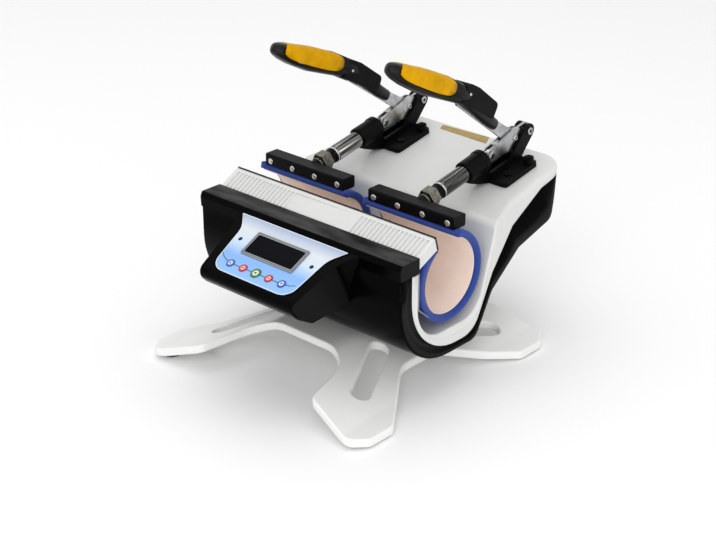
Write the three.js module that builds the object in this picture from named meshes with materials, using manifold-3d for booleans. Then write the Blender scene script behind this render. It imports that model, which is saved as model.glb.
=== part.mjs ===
// Double station mug heat press: an arched stand, an S shaped housing, a front console, and at each
// station a silicone heating wrap that a push-pull toggle clamp with a long handle pulls tight.
// Millimetres. X to the right, Y to the rear, Z up, floor at Z = 0. Everything is built about the
// line of the mug axis and then moved so that the origin lies under the middle of the whole.
import * as THREE from "three";
import { mergeVertices } from "three/addons/utils/BufferGeometryUtils.js";
import Module from "manifold-3d";

const wasm = await Module();
wasm.setup();

// Shared clearances and facet counts.
const gap = 0.3;
const overrun = 5;
const arcSteps = 5;
const roundSides = 24;
const smallSides = 16;
const boreSides = 64;

// Station layout: where the mugs lie.
const stationSpacing = 160;
const mugAxisHeight = 140.5;
const mugAxisY = 12;
const mugBoreRadius = 42.5;

// Heating wrap.
const linerThickness = 1.1;
const matThickness = 8.1;
const matWidth = 136;
const linerWidth = 128;
const matFrontAngle = 121;
const jawFrontReach = 10;
const plateHalf = 69;
const plateThickness = 1.6;
const plateTurnDrop = 20;
const plateTurnShare = 0.45;
const plateFootDrop = 35.5;
const plateFootReach = 38;

// Housing in plan.
const bodyHalfWidth = 150;
const towerHalfWidth = 134;
const taperFrontReach = 58;
const taperRearReach = 153;
const housingRearReach = 225;
const shellRearInset = 9;
const shellTailInset = 16;
const rearCornerRadius = 30;

// Tray: trough and deck, as distances from the mug axis.
const troughFrontReach = 56;
const troughDepth = 60.5;
const troughFrontRadius = 40;
const troughHeelReach = 43;
const troughHeelRadius = 34;
const deckFrontReach = 77.5;
const deckFrontRadius = 14;
const deckPitch = 10.5;
const deckRise = 36.2;
const traySkin = 4;
const trayEdgeShares = [0, 0.6, 1];
const trayWallTopRise = 23.2;
const troughRimInset = 3;
const deckRimInset = 15;
const rimEdge = 2;

// The rim's lower edge, where white meets black, against the tray.
const rimFrontBand = 11;
const rimBottomBand = 20;
const rimFrontRadius = 75;
const rimHeelReach = 38;
const rimHeelRadius = 30;
const rimWaistReach = 70;
const rimWaistDrop = 18.5;
const rimWaistRadius = 12;
const rimKneeReach = 116;
const rimKneeRise = 17.5;
const rimKneeRadius = 20;
const rimDeckReach = 176;
const rimDeckRise = 44.5;
const rimDeckRadius = 15;
const rimRearRise = 55.5;
const rimRearStep = 1;
const rimRearInset = 1;

// Lower shell: band below the rim, then the tower's underside.
const shellWall = 4;
const shellFrontBand = 17.7;
const shellBottomBand = 11;
const shellFrontRadius = 80;
const shellHeelReach = 44;
const shellHeelRadius = 18;
const shellWaistReach = 72;
const shellWaistDrop = 42.5;
const shellWaistRadius = 14;
const shellBellyReach = 138;
const shellBellyDrop = 17.5;
const shellBellyRadius = 30;
const shellTailReach = housingRearReach - shellRearInset - shellTailInset;
const shellTailDrop = 1.5;
const shellTailRadius = 16;
const shellRearReach = housingRearReach - shellRearInset;

// Front lip.
const lipHalfWidth = 148;
const lipFrontRise = 24.8;
const lipFrontHeight = 15.2;
const lipRearReach = 24;
const lipRearRise = 38.7;
const lipRearHeight = 16.3;
const lipTopReach = 28.5;
const lipRibPitch = 4.1;
const lipRibDepth = 1.3;
const lipRibCount = 22;
const lipRibEndMargin = 8;
const lipRibStartShare = 0.05;
const lipRibEndShare = 0.74;
const lipEndBevel = 3;
const lipEndShrink = 0.1;
const lipRearEdgeShare = 0.12;
const lipTopEdgeShare = 0.93;

// Front rail and console.
const railHeight = 17.8;
const railTopDepth = 28;
const railFrontStep = 6;
const railFrontReach = 86;
const faceSlope = 25.2;
const faceLength = 93;
const noseTopHalf = 106;
const noseTopRun = 12;
const noseWaistHalf = 79;
const noseWaistRun = 14;
const noseWaistRadius = 30;
const noseFootHalf = 67;
const noseFootRadius = 22;
const noseFrontDrop = 16;
const noseFrontSetback = 15;
const noseKneeDrop = 27;
const noseKneeSetback = 35;
const noseEdgeRadius = 9;
const noseInlay = 12;
const noseBellyRise = 8;

// Console pocket and what it holds, measured on the sloping face.
const pocketHalf = 58;
const pocketTopRun = 12;
const pocketBottomRun = 75;
const pocketDepth = 16.3;
const boardThickness = 1.6;
const boardMargin = 1;
const labelThickness = 1;
const labelTipHalf = 78.5;
const labelTipRun = 1;
const labelNeckHalf = 64;
const labelNeckRun = 20;
const labelNeckRadius = 26;
const labelFootHalf = 57.5;
const labelFootRun = 79.5;
const labelFootRadius = 17;
const bezelHalf = 38.5;
const bezelTopRun = 17.1;
const bezelBottomRun = 50.4;
const bezelFlange = 1;
const bezelFrame = 4.5;
const bezelCollar = 2.2;
const bezelDepth = 2;
const bezelFuse = 0.5;
const screenThickness = 2.6;
const screenSink = 0.6;
const buttonRun = 66.5;
const buttonPitch = 19.2;
const buttonRadius = 5;
const middleButtonRadius = 6.2;
const buttonProud = 1;
const buttonCap = 3;
const buttonStemRadius = 2;
const buttonTravelGap = 0.9;
const ledHalf = 53.5;
const ledRun = 33.5;
const ledRadius = 1.6;
const ledProud = 0.5;

// Stand: an arched plate with four slotted legs.
const standHalfWidth = 165;
const standHalfLength = 167.5;
const standThickness = 10;
const standKneeInset = 25;
const standHubHalf = 45;
const standHubRadius = 60;
const standKneeHalf = standHalfWidth - standKneeInset;
const standKneeTop = 15;
const standKneeRadius = 60;
const standTipTop = 11.3;
const standMiddleReach = 0.5;
const tipInnerGap = 80;
const tipOuterGap = 15;
const tipInnerHalf = standHalfWidth - tipInnerGap;
const tipInnerInset = 14;
const tipOuterHalf = standHalfWidth - tipOuterGap;
const tipChamferRun = 20;
const tipOuterRun = 56;
const tipCornerRadius = 12;
const frontNotchGap = 19;
const frontNotchHalf = tipInnerHalf - frontNotchGap;
const frontNotchDepth = 94;
const frontNotchFlatHalf = 24;
const frontNotchRadius = frontNotchHalf - frontNotchFlatHalf;
const sideNotchGap = 61;
const sideNotchHalfWidth = standHalfWidth - sideNotchGap;
const sideNotchHalfLength = 29;
const sideNotchRadius = 40;
const slotInnerGapX = 31;
const slotInnerX = sideNotchHalfWidth - slotInnerGapX;
const slotInnerReach = 31;
const slotFrontGapX = 57;
const slotFrontGap = 67.5;
const slotRearGapX = 49;
const slotRearGap = 52.5;
const slotFrontX = standHalfWidth - slotFrontGapX;
const slotFrontReach = standHalfLength - slotFrontGap;
const slotRearX = standHalfWidth - slotRearGapX;
const slotRearReach = standHalfLength - slotRearGap;
const slotHalfWidth = 10.5;
const footRadius = 12;
const footGapX = 19;
const footGap = 24.5;
const footX = standHalfWidth - footGapX;
const footReach = standHalfLength - footGap;

// Push-pull clamp, in its own frame: u along the plunger to the rear, w up from the deck.
const clampReach = 144;
const clampAxisHeight = 28.3;
const pivotHeight = 30;
const pivotLinkU = 7.5;
const linkLength = 45;
const crankLength = 21.5;
const basePlateHalf = 31;
const basePlateFrontU = -4;
const basePlateLength = 60;
const basePlateThickness = 6;
const basePlateCorner = 4;
const screwSpread = 20;
const screwInset = 18;
const screwHoleRadius = 2.6;
const baseBossRadius = 6.2;
const baseBossHeight = 6.5;
const baseBossInset = 8;
const baseBossSpread = 24.5;
const barrelFrontU = -38;
const barrelRearU = -4;
const barrelRadius = 12.8;
const barrelFlare = 1;
const barrelCollar = 8;
const saddleHalf = 6.5;
const saddleFrontRise = 16;
const saddleKneeU = -22;
const saddleKneeRise = 7.5;
const lugInner = 4.9;
const lugThickness = 3.4;
const lugRibHeight = 12;
const lugHeadRadius = 8.6;
const lugFootReach = 30;
const lugFootHeight = 7;
const leverPinRadius = 3;
const leverPinHeadRadius = 4.3;
const leverPinHead = 1.4;
const pinClearance = 0.3;

// Plunger, spindle and nut.
const sleeveRadius = 9.8;
const sleeveFrontU = -78;
const sleeveRearU = -6;
const sleeveChamfer = 1.2;
const sleeveBoreDepth = 13;
const tongueHalf = 1.8;
const tongueRadius = 6.5;
const linkPinRadius = 2.5;
const rivetHeadRadius = 4.8;
const rivetHead = 1;
const spindleRadius = 5;
const spindleGrip = 13;
const jamNutRadius = 9;
const jamNutLength = 12;
const nutClearance = 0.9;
const nutAcrossFlats = 21;
const nutLength = 13;

// Jaw bracket.
const jawHalf = 61;
const jawDepth = 20;
const jawHeight = 14.5;
const jawBottomRise = 48;
const jawEdge = 2;
const jawBossRadius = 7.5;

// Links and lever.
const linkPlateThickness = 2;
const linkInner = 2.1;
const linkFrontRadius = 7.5;
const linkRearRadius = 12.8;
const linkWebStart = 8;
const linkWebLength = 12;
const linkWebRise = 6.6;
const linkWebThickness = 2.2;
const rivetBossHeight = 0.5;
const leverHalf = 1.8;
const leverBossRadius = 9;
const leverNeckRadius = 7.5;
const leverTailRadius = 5;
const handleAngle = 41.1;
const leftHandleDrop = 2.8;
const handleStart = 45.9;
const leverTailReach = 76;
const leverTailRise = 8;

// Grip, measured along the handle line from the grip's inner end.
const gripLength = 211;
const gripShares = [0, 0.012, 0.09, 0.2, 0.37, 0.55, 0.72, 0.86, 0.93, 0.97, 0.99, 1];
const gripLow = [0.5, -3.5, -2.5, 1, 5.5, 0.5, -4, -4, -2.5, -0.5, 1.5, 4.5];
const gripHigh = [7, 10, 12.5, 20, 27.5, 27.5, 23.5, 18.5, 16.5, 14.5, 12.5, 9];
const gripHalf = [5.5, 8.2, 8.8, 9.5, 11, 12.5, 13.5, 13, 12, 9.5, 6.5, 2.5];
const gripSides = 20;
const gripSquareness = 0.72;
const socketClearance = 0.35;
const insetStart = 104;
const insetLength = 98;
const insetProud = 0.7;
const insetSquareness = 0.6;
const insetInnerMid = 17.5;
const insetOuterMid = 9;
const insetInnerHalf = 11.8;
const insetOuterHalf = 9.5;
const blockStart = 19;
const leftBlockShift = 11;
const leftBlockDrop = 4;
const blockLength = 65;
const blockLow = 7;
const blockInnerTop = 25;
const blockOuterTop = 30.5;
const blockMidTop = 31;
const blockMidShare = 0.68;
const blockHalf = 11;
const blockRadius = 6;
const blockBevel = 2.5;

// Power board, inlet and switch at the rear.
const powerBoardWidth = 120;
const powerBoardRoom = 18;
const powerBoardLength = shellTailReach - shellBellyReach - powerBoardRoom;
const powerBoardShift = 8;
const transformerSize = 26;
const relaySize = 14;
const inletX = 62;
const inletHalfWidth = 15;
const inletHalfHeight = 11.5;
const inletFlange = 2.4;
const inletDepth = 17;
const inletBodyInset = 2;
const inletSocketInset = 4.5;
const inletSocketDepth = 14;
const bladeHalfWidth = 1;
const bladeHalfHeight = 2.4;
const bladeLength = 11;
const bladePitch = 7;
const switchX = 22;
const switchHalfWidth = 7;
const switchHalfHeight = 10.5;
const rockerRadius = 12;
const rockerTilt = 8;
const rockerSink = 8;
const rockerFaceAngle = 46;
const rockerHollow = 1.4;
const rockerKeelHalf = 3;
const rearFittingRise = 26;

// Materials.
function finish(color, roughness, metalness) {
  return new THREE.MeshStandardMaterial({ color, roughness, metalness });
}
const whitePaint = finish(0xe9e8e4, 0.35, 0);
const blackGloss = finish(0x0b0b0d, 0.12, 0);
const blackCasting = finish(0x121213, 0.5, 0.2);
const blackRubber = finish(0x1b1b1c, 0.7, 0);
const gripPlastic = finish(0x1c1c1e, 0.5, 0);
const yellowPlastic = finish(0xe0a508, 0.45, 0);
const blueSilicone = finish(0x34469c, 0.55, 0);
const copperLiner = finish(0xd9a48c, 0.5, 0.2);
const chrome = finish(0xc9c9cb, 0.12, 1);
const nickel = finish(0xa79f92, 0.25, 1);
const zinc = finish(0xb4b6b8, 0.3, 1);
const labelBlue = finish(0x79b4ec, 0.4, 0);
const bezelGrey = finish(0x8d9196, 0.4, 0);
const screenGlass = finish(0x07080a, 0.08, 0);
const buttonBlue = finish(0x1f4fa8, 0.4, 0);
const buttonRed = finish(0xc3202e, 0.4, 0);
const buttonGreen = finish(0x2e8b3d, 0.4, 0);
const ledDark = finish(0x16233f, 0.2, 0);
const boardGreen = finish(0x1d5b35, 0.5, 0);

// Angles and small vector helpers.
const radians = THREE.MathUtils.degToRad;
const pitch = radians(deckPitch);
const slope = radians(faceSlope);
const planeYZ = new THREE.Matrix4().makeBasis(
  new THREE.Vector3(0, 1, 0),
  new THREE.Vector3(0, 0, 1),
  new THREE.Vector3(1, 0, 0),
);
const planeXZ = new THREE.Matrix4().makeBasis(
  new THREE.Vector3(1, 0, 0),
  new THREE.Vector3(0, 0, 1),
  new THREE.Vector3(0, -1, 0),
);

// A line through corners [a, b, radius], with an arc of arcSteps pieces at each rounded corner.
function rounded(corners, closed = true) {
  const points = [];
  const count = corners.length;
  corners.forEach(([a, b, radius], k) => {
    const here = new THREE.Vector2(a, b);
    const isEnd = !closed && (k === 0 || k === count - 1);
    if (!radius || isEnd) {
      points.push(here);
      return;
    }
    const before = corners[(k + count - 1) % count];
    const after = corners[(k + 1) % count];
    const back = new THREE.Vector2(before[0] - a, before[1] - b).normalize();
    const ahead = new THREE.Vector2(after[0] - a, after[1] - b).normalize();
    const half = Math.acos(THREE.MathUtils.clamp(back.dot(ahead), -1, 1)) / 2;
    const centre = here.clone().add(back.clone().add(ahead).setLength(radius / Math.sin(half)));
    const start = here.clone().addScaledVector(back, radius / Math.tan(half)).sub(centre).angle();
    const stop = here.clone().addScaledVector(ahead, radius / Math.tan(half)).sub(centre).angle();
    let turn = stop - start;
    if (turn > Math.PI) {
      turn -= 2 * Math.PI;
    }
    if (turn < -Math.PI) {
      turn += 2 * Math.PI;
    }
    for (let step = 0; step <= arcSteps; step += 1) {
      const angle = start + (turn * step) / arcSteps;
      points.push(new THREE.Vector2(Math.cos(angle), Math.sin(angle)).multiplyScalar(radius).add(centre));
    }
  });
  return points;
}

// The same line moved sideways by a distance, to its left as it runs.
function offsetLine(points, distance) {
  return points.map((point, k) => {
    const before = points[Math.max(k - 1, 0)];
    const after = points[Math.min(k + 1, points.length - 1)];
    const along = after.clone().sub(before).normalize();
    return new THREE.Vector2(point.x - along.y * distance, point.y + along.x * distance);
  });
}

function extruded(points, length) {
  return new THREE.ExtrudeGeometry(new THREE.Shape(points), { depth: length, bevelEnabled: false });
}

// Outlines given as (y, z), (x, z) or (x, y) points, extruded between two places on the third axis.
function prismX(points, from, to) {
  return extruded(points, to - from).applyMatrix4(planeYZ).translate(from, 0, 0);
}

function prismY(points, from, to) {
  return extruded(points, to - from).applyMatrix4(planeXZ).translate(0, to, 0);
}

function prismZ(points, from, to) {
  return extruded(points, to - from).translate(0, 0, from);
}

function boxBetween(x0, x1, y0, y1, z0, z1) {
  const box = new THREE.BoxGeometry(x1 - x0, y1 - y0, z1 - z0);
  return box.translate((x0 + x1) / 2, (y0 + y1) / 2, (z0 + z1) / 2);
}

function rodX(radius, from, to, y, z, sides = smallSides) {
  const rod = new THREE.CylinderGeometry(radius, radius, to - from, sides);
  return rod.rotateZ(-Math.PI / 2).translate((from + to) / 2, y, z);
}

function rodY(radius, from, to, z, sides = roundSides) {
  return new THREE.CylinderGeometry(radius, radius, to - from, sides).translate(0, (from + to) / 2, z);
}

function rodZ(radius, x, y, from, to, sides = smallSides) {
  const rod = new THREE.CylinderGeometry(radius, radius, to - from, sides);
  return rod.rotateX(Math.PI / 2).translate(x, y, (from + to) / 2);
}

// Turned shape about the Y axis from (radius, y) points, both ends on the axis.
function turned(profile, z, sides = roundSides) {
  const points = profile.map(([radius, y]) => new THREE.Vector2(radius, y));
  return new THREE.LatheGeometry(points, sides).translate(0, 0, z);
}

// Convex outline round two circles, as on a strap with two round ends.
function strap(first, firstRadius, second, secondRadius) {
  const along = second.clone().sub(first);
  const lean = Math.acos((firstRadius - secondRadius) / along.length());
  const heading = along.angle();
  const points = [];
  const addArc = (centre, radius, from, to) => {
    for (let step = 0; step <= 2 * arcSteps; step += 1) {
      const angle = from + ((to - from) * step) / (2 * arcSteps);
      points.push(new THREE.Vector2(Math.cos(angle), Math.sin(angle)).multiplyScalar(radius).add(centre));
    }
  };
  addArc(second, secondRadius, heading - lean, heading + lean);
  addArc(first, firstRadius, heading + lean, heading + 2 * Math.PI - lean);
  return points;
}

// Booleans on closed geometries.
function toSolid(geometry) {
  const bare = geometry.index ? geometry.toNonIndexed() : geometry.clone();
  bare.deleteAttribute("normal");
  bare.deleteAttribute("uv");
  const merged = mergeVertices(bare);
  return new wasm.Manifold(new wasm.Mesh({
    numProp: 3,
    vertProperties: new Float32Array(merged.attributes.position.array),
    triVerts: new Uint32Array(merged.index.array),
  }));
}

function toGeometry(solid) {
  const mesh = solid.getMesh();
  const geometry = new THREE.BufferGeometry();
  geometry.setAttribute("position", new THREE.BufferAttribute(new Float32Array(mesh.vertProperties), 3));
  geometry.setIndex(new THREE.BufferAttribute(new Uint32Array(mesh.triVerts), 1));
  geometry.computeVertexNormals();
  return geometry;
}

function joined(...geometries) {
  return toGeometry(geometries.map(toSolid).reduce((all, next) => all.add(next)));
}

function cut(geometry, ...tools) {
  return toGeometry(tools.map(toSolid).reduce((left, tool) => left.subtract(tool), toSolid(geometry)));
}

function common(geometry, ...others) {
  return toGeometry(others.map(toSolid).reduce((left, other) => left.intersect(other), toSolid(geometry)));
}

// A body through closed sections of equal point count. The end caps pair each point with the one
// as far from the section's other end, so that every point of the outline is used.
function loft(sections) {
  const ring = sections[0].length;
  const positions = sections.flat().flatMap((point) => [point.x, point.y, point.z]);
  const faces = [];
  for (let s = 0; s < sections.length - 1; s += 1) {
    for (let k = 0; k < ring; k += 1) {
      const a = s * ring + k;
      const b = s * ring + ((k + 1) % ring);
      faces.push(a, b, b + ring, a, b + ring, a + ring);
    }
  }
  const last = (sections.length - 1) * ring;
  for (let k = 0; k < ring / 2 - 1; k += 1) {
    const [a, b, c, d] = [k, k + 1, ring - 2 - k, ring - 1 - k];
    faces.push(a, c, b, a, d, c);
    faces.push(last + a, last + b, last + c, last + a, last + c, last + d);
  }
  const geometry = new THREE.BufferGeometry();
  geometry.setAttribute("position", new THREE.Float32BufferAttribute(positions, 3));
  geometry.setIndex(faces);
  return orientedOut(geometry);
}

function orientedOut(geometry) {
  const index = geometry.index;
  const position = geometry.attributes.position;
  const [a, b, c] = [new THREE.Vector3(), new THREE.Vector3(), new THREE.Vector3()];
  let volume = 0;
  for (let k = 0; k < index.count; k += 3) {
    a.fromBufferAttribute(position, index.getX(k));
    b.fromBufferAttribute(position, index.getX(k + 1));
    c.fromBufferAttribute(position, index.getX(k + 2));
    volume += a.dot(b.cross(c));
  }
  if (volume < 0) {
    for (let k = 0; k < index.count; k += 3) {
      const swap = index.getX(k);
      index.setX(k, index.getX(k + 1));
      index.setX(k + 1, swap);
    }
  }
  geometry.computeVertexNormals();
  return geometry;
}

// Groups and named pieces.
const press = new THREE.Group();

function addPiece(group, name, geometry, material) {
  const mesh = new THREE.Mesh(geometry, material);
  mesh.name = name;
  group.add(mesh);
  return mesh;
}

// Housing profile.
const troughFrontY = mugAxisY - troughFrontReach;
const troughBottomZ = mugAxisHeight - troughDepth;
const wallTopZ = mugAxisHeight + trayWallTopRise;
const deckFrontY = mugAxisY + deckFrontReach;
const housingRearY = mugAxisY + housingRearReach;
const deckRearY = housingRearY - rimRearInset;
const taperFrontY = mugAxisY + taperFrontReach;
const taperRearY = mugAxisY + taperRearReach;

function deckZ(y) {
  return mugAxisHeight + deckRise + (y - deckFrontY) * Math.tan(pitch);
}

function halfWidthAt(y) {
  const blend = THREE.MathUtils.smoothstep(y, taperFrontY, taperRearY);
  const straight = THREE.MathUtils.lerp(bodyHalfWidth, towerHalfWidth, blend);
  const intoCorner = Math.max(0, y - (housingRearY - rearCornerRadius));
  const drop = Math.min(intoCorner, rearCornerRadius);
  return straight - rearCornerRadius + Math.sqrt(rearCornerRadius ** 2 - drop ** 2);
}

function planOutline(inset) {
  const rear = housingRearY - inset;
  const front = mugAxisY - bodyHalfWidth;
  const places = [front, taperFrontY];
  for (let step = 1; step <= 2 * arcSteps; step += 1) {
    places.push(THREE.MathUtils.lerp(taperFrontY, taperRearY, step / (2 * arcSteps)));
  }
  for (let step = 0; step <= arcSteps; step += 1) {
    const turn = (Math.PI / 2) * (step / arcSteps);
    places.push(housingRearY - rearCornerRadius + rearCornerRadius * Math.sin(turn));
  }
  const right = places.map((y) => new THREE.Vector2(halfWidthAt(y) - inset, Math.min(y, rear)));
  const left = right.map((point) => new THREE.Vector2(-point.x, point.y)).reverse();
  return right.concat(left);
}

// Rim line: where the white tray meets the black shell.
const rimFrontY = troughFrontY - rimFrontBand;
const rimBottomZ = troughBottomZ - rimBottomBand;
const rimCorners = [
  [rimFrontY, wallTopZ],
  [rimFrontY, rimBottomZ, rimFrontRadius],
  [mugAxisY + rimHeelReach, rimBottomZ, rimHeelRadius],
  [mugAxisY + rimWaistReach, mugAxisHeight - rimWaistDrop, rimWaistRadius],
  [mugAxisY + rimKneeReach, mugAxisHeight + rimKneeRise, rimKneeRadius],
  [mugAxisY + rimDeckReach, mugAxisHeight + rimDeckRise, rimDeckRadius],
  [housingRearY - rimRearStep, mugAxisHeight + rimRearRise],
];
const rimRun = rounded(rimCorners, false);

// The last stretch gets extra points, so that the rear corners turn smoothly.
const rimTail = rimRun.pop();
const rimTailStart = rimRun[rimRun.length - 1];
for (let step = 1; step <= arcSteps; step += 1) {
  rimRun.push(rimTailStart.clone().lerp(rimTail, Math.sin((Math.PI / 2) * (step / arcSteps))));
}

// Tray surface: the trough's line, then deck points opposite the rest of the rim's points.
const trayCorners = [
  [troughFrontY, wallTopZ],
  [troughFrontY, troughBottomZ, troughFrontRadius],
  [mugAxisY + troughHeelReach, troughBottomZ, troughHeelRadius],
  [deckFrontY, deckZ(deckFrontY), deckFrontRadius],
  [deckRearY, deckZ(deckRearY)],
];
const trayRun = rounded(trayCorners, false).slice(0, -1);
const shoulderY = trayRun[trayRun.length - 1].x;
const rimShoulderY = rimRun[trayRun.length - 1].x;
rimRun.slice(trayRun.length).forEach((point) => {
  const y = THREE.MathUtils.mapLinear(point.x, rimShoulderY, rimTail.x, shoulderY, deckRearY);
  trayRun.push(new THREE.Vector2(y, deckZ(y)));
});

function rimInsetAt(y) {
  const blend = THREE.MathUtils.smoothstep(y, mugAxisY + troughHeelReach, taperRearY);
  return THREE.MathUtils.lerp(troughRimInset, deckRimInset, blend);
}

// One section of the tray: share 0 is the outer edge, 1 the crease where the flat deck begins.
function traySection(side, share) {
  const rise = 1 - Math.sqrt(1 - share ** 2);
  const topShare = 1 - Math.sqrt(1 - (1 - share) ** 2);
  const top = trayRun.map((crease, k) => {
    const edge = rimRun[k].clone().add(crease.clone().sub(rimRun[k]).setLength(rimEdge));
    const point = crease.clone().lerp(edge, topShare);
    const half = halfWidthAt(point.x) - rimInsetAt(crease.x) * rise;
    return new THREE.Vector3(side * half, point.x, point.y);
  });
  const bottom = rimRun.map((point, k) => {
    const half = halfWidthAt(point.x) - rimInsetAt(trayRun[k].x) * rise;
    return new THREE.Vector3(side * half, point.x, point.y);
  });
  return top.concat(bottom.reverse());
}

function makeTray() {
  const left = trayEdgeShares.map((share) => traySection(-1, share));
  const right = trayEdgeShares.map((share) => traySection(1, share)).reverse();
  const sections = left.concat(right);
  const solid = loft(sections);
  const under = offsetLine(trayRun, -traySkin)
    .filter((point) => point.y < wallTopZ - traySkin || point.x > 0);
  const rearInner = deckRearY - traySkin;
  const hollow = under.filter((point) => point.x < rearInner);
  const low = rimBottomZ - overrun;
  const front = rimFrontY - overrun;
  const outline = [
    new THREE.Vector2(front, wallTopZ - traySkin),
    new THREE.Vector2(troughFrontY - traySkin, wallTopZ - traySkin),
    ...hollow.slice(1),
    new THREE.Vector2(rearInner, low),
    new THREE.Vector2(front, low),
  ];
  const reach = bodyHalfWidth + overrun;
  const cavity = common(
    prismX(outline, -reach, reach),
    prismZ(planOutline(2 * shellWall + gap), 0, 2 * mugAxisHeight),
  );
  return cut(solid, cavity);
}

// Lower shell: the black S shaped skin under the rim line.
const shellFrontY = rimFrontY - gap - shellFrontBand;
const shellBottomZ = rimBottomZ - shellBottomBand;
const shellRearY = mugAxisY + shellRearReach;
const shellTailY = mugAxisY + shellTailReach;
const shellTailZ = mugAxisHeight - shellTailDrop;
const shellRearTopZ = mugAxisHeight + rimRearRise;
const shellCorners = [
  [shellFrontY, wallTopZ],
  [shellFrontY, shellBottomZ, shellFrontRadius],
  [mugAxisY + shellHeelReach, shellBottomZ, shellHeelRadius],
  [mugAxisY + shellWaistReach, mugAxisHeight - shellWaistDrop, shellWaistRadius],
  [mugAxisY + shellBellyReach, mugAxisHeight - shellBellyDrop, shellBellyRadius],
  [shellTailY, shellTailZ, shellTailRadius],
  [shellRearY, shellRearTopZ],
];
const shellRun = rounded(shellCorners, false);

// Rear wall frame: x to the left seen from the front, y up the wall, z out of it.
const rearWallRise = new THREE.Vector3(0, shellRearY - shellTailY, shellRearTopZ - shellTailZ).normalize();
const rearWallOut = new THREE.Vector3(0, rearWallRise.z, -rearWallRise.y);
const rearWall = new THREE.Matrix4()
  .makeBasis(new THREE.Vector3(-1, 0, 0), rearWallRise, rearWallOut)
  .setPosition(
    0,
    shellTailY + rearWallRise.y * rearFittingRise,
    shellTailZ + rearWallRise.z * rearFittingRise,
  );

function rearHole(x, halfWidth, halfHeight) {
  const reach = shellWall + overrun;
  const hole = boxBetween(x - halfWidth, x + halfWidth, -halfHeight, halfHeight, -reach, reach);
  return hole.applyMatrix4(rearWall);
}

function makeLowerShell() {
  const high = mugAxisHeight + shellRearTopZ;
  const close = (run, first) => [...first, ...run, new THREE.Vector2(run[run.length - 1].x, high),
    new THREE.Vector2(run[0].x, high)];
  const reach = bodyHalfWidth + overrun;
  const outer = common(
    prismX(close(shellRun, []), -reach, reach),
    prismZ(planOutline(0), 0, high),
  );
  const inner = common(
    prismX(close(offsetLine(shellRun, shellWall), []), -reach, reach),
    prismZ(planOutline(shellWall), -overrun, high + overrun),
  );
  const front = shellFrontY - overrun;
  const seat = offsetLine(rimRun, -gap);
  const above = [
    new THREE.Vector2(front, wallTopZ),
    new THREE.Vector2(seat[0].x, wallTopZ),
    ...seat.slice(1),
    new THREE.Vector2(housingRearY + overrun, seat[seat.length - 1].y),
    new THREE.Vector2(housingRearY + overrun, high + overrun),
    new THREE.Vector2(front, high + overrun),
  ];
  return cut(
    outer,
    inner,
    prismX(above, -reach, reach),
    rearHole(inletX, inletHalfWidth - inletBodyInset + gap, inletHalfHeight - inletBodyInset + gap),
    rearHole(switchX, switchHalfWidth + gap, switchHalfHeight + gap),
  );
}

// Stand.
const standMiddleY = mugAxisY - standMiddleReach;
const standHubTop = shellBottomZ - gap;

function mirroredQuadrant(corners) {
  const rightFront = corners;
  const rightRear = corners.map(([x, y, r]) => [x, -y, r]).reverse();
  const leftRear = corners.map(([x, y, r]) => [-x, -y, r]);
  const leftFront = corners.map(([x, y, r]) => [-x, y, r]).reverse();
  return [...rightFront, ...rightRear, ...leftRear, ...leftFront]
    .map(([x, y, r]) => [x, y + standMiddleY, r]);
}

function makeStandArch(shift, reach) {
  const top = [
    [-standHalfWidth, standTipTop],
    [-standKneeHalf, standKneeTop, standKneeRadius],
    [-standHubHalf, standHubTop, standHubRadius],
    [standHubHalf, standHubTop, standHubRadius],
    [standKneeHalf, standKneeTop, standKneeRadius],
    [standHalfWidth, standTipTop],
  ];
  const topLine = rounded(top, false);
  const tilt = (standKneeTop - standTipTop) / (standHalfWidth - standKneeHalf);
  const end = reach - standHalfWidth;
  topLine[0].set(-reach, standTipTop - end * tilt);
  topLine[topLine.length - 1].set(reach, standTipTop - end * tilt);
  const bottomLine = offsetLine(topLine, -standThickness).reverse();
  const outline = topLine.concat(bottomLine).map((point) => new THREE.Vector2(point.x, point.y + shift));
  return prismY(outline, standMiddleY - standHalfLength, standMiddleY + standHalfLength);
}

function standSlot(sideX, sideY) {
  const inner = new THREE.Vector2(sideX * slotInnerX, standMiddleY + sideY * slotInnerReach);
  const outer = sideY < 0
    ? new THREE.Vector2(sideX * slotFrontX, standMiddleY - slotFrontReach)
    : new THREE.Vector2(sideX * slotRearX, standMiddleY + slotRearReach);
  return prismZ(strap(inner, slotHalfWidth, outer, slotHalfWidth), -overrun, standHubTop + overrun);
}

function makeStand() {
  const quadrant = [
    [frontNotchHalf, frontNotchDepth - standHalfLength, frontNotchRadius],
    [tipInnerHalf, tipInnerInset - standHalfLength, tipCornerRadius],
    [tipOuterHalf, -standHalfLength, tipCornerRadius],
    [standHalfWidth, tipChamferRun - standHalfLength, tipCornerRadius],
    [standHalfWidth, tipOuterRun - standHalfLength, tipCornerRadius],
    [sideNotchHalfWidth, -sideNotchHalfLength, sideNotchRadius],
  ];
  const plan = prismZ(rounded(mirroredQuadrant(quadrant)), -overrun, standHubTop + overrun);
  const slots = [-1, 1].flatMap((x) => [-1, 1].map((y) => standSlot(x, y)));
  return cut(common(makeStandArch(0, standHalfWidth + overrun), plan), ...slots);
}

function makeFoot(sideX, sideY) {
  const place = [sideX * footX, standMiddleY + sideY * footReach];
  const post = rodZ(footRadius, place[0], place[1], 0, standTipTop + standThickness, roundSides);
  const below = makeStandArch(-gap, standHalfWidth + overrun);
  const above = makeStandArch(standThickness - 2 * gap, standHalfWidth);
  return cut(post, below, above);
}

// Front lip with its ribs: sections along X that step down on the ribbed part of the top.
const lipFrontY = troughFrontY + gap + gap;
const lipFrontZ = mugAxisHeight + lipFrontRise;
const plateTopZ = lipFrontZ - gap;
const lipRearY = mugAxisY - lipRearReach;
const lipRearZ = mugAxisHeight + lipRearRise;
const lipTopY = mugAxisY - lipTopReach;

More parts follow.
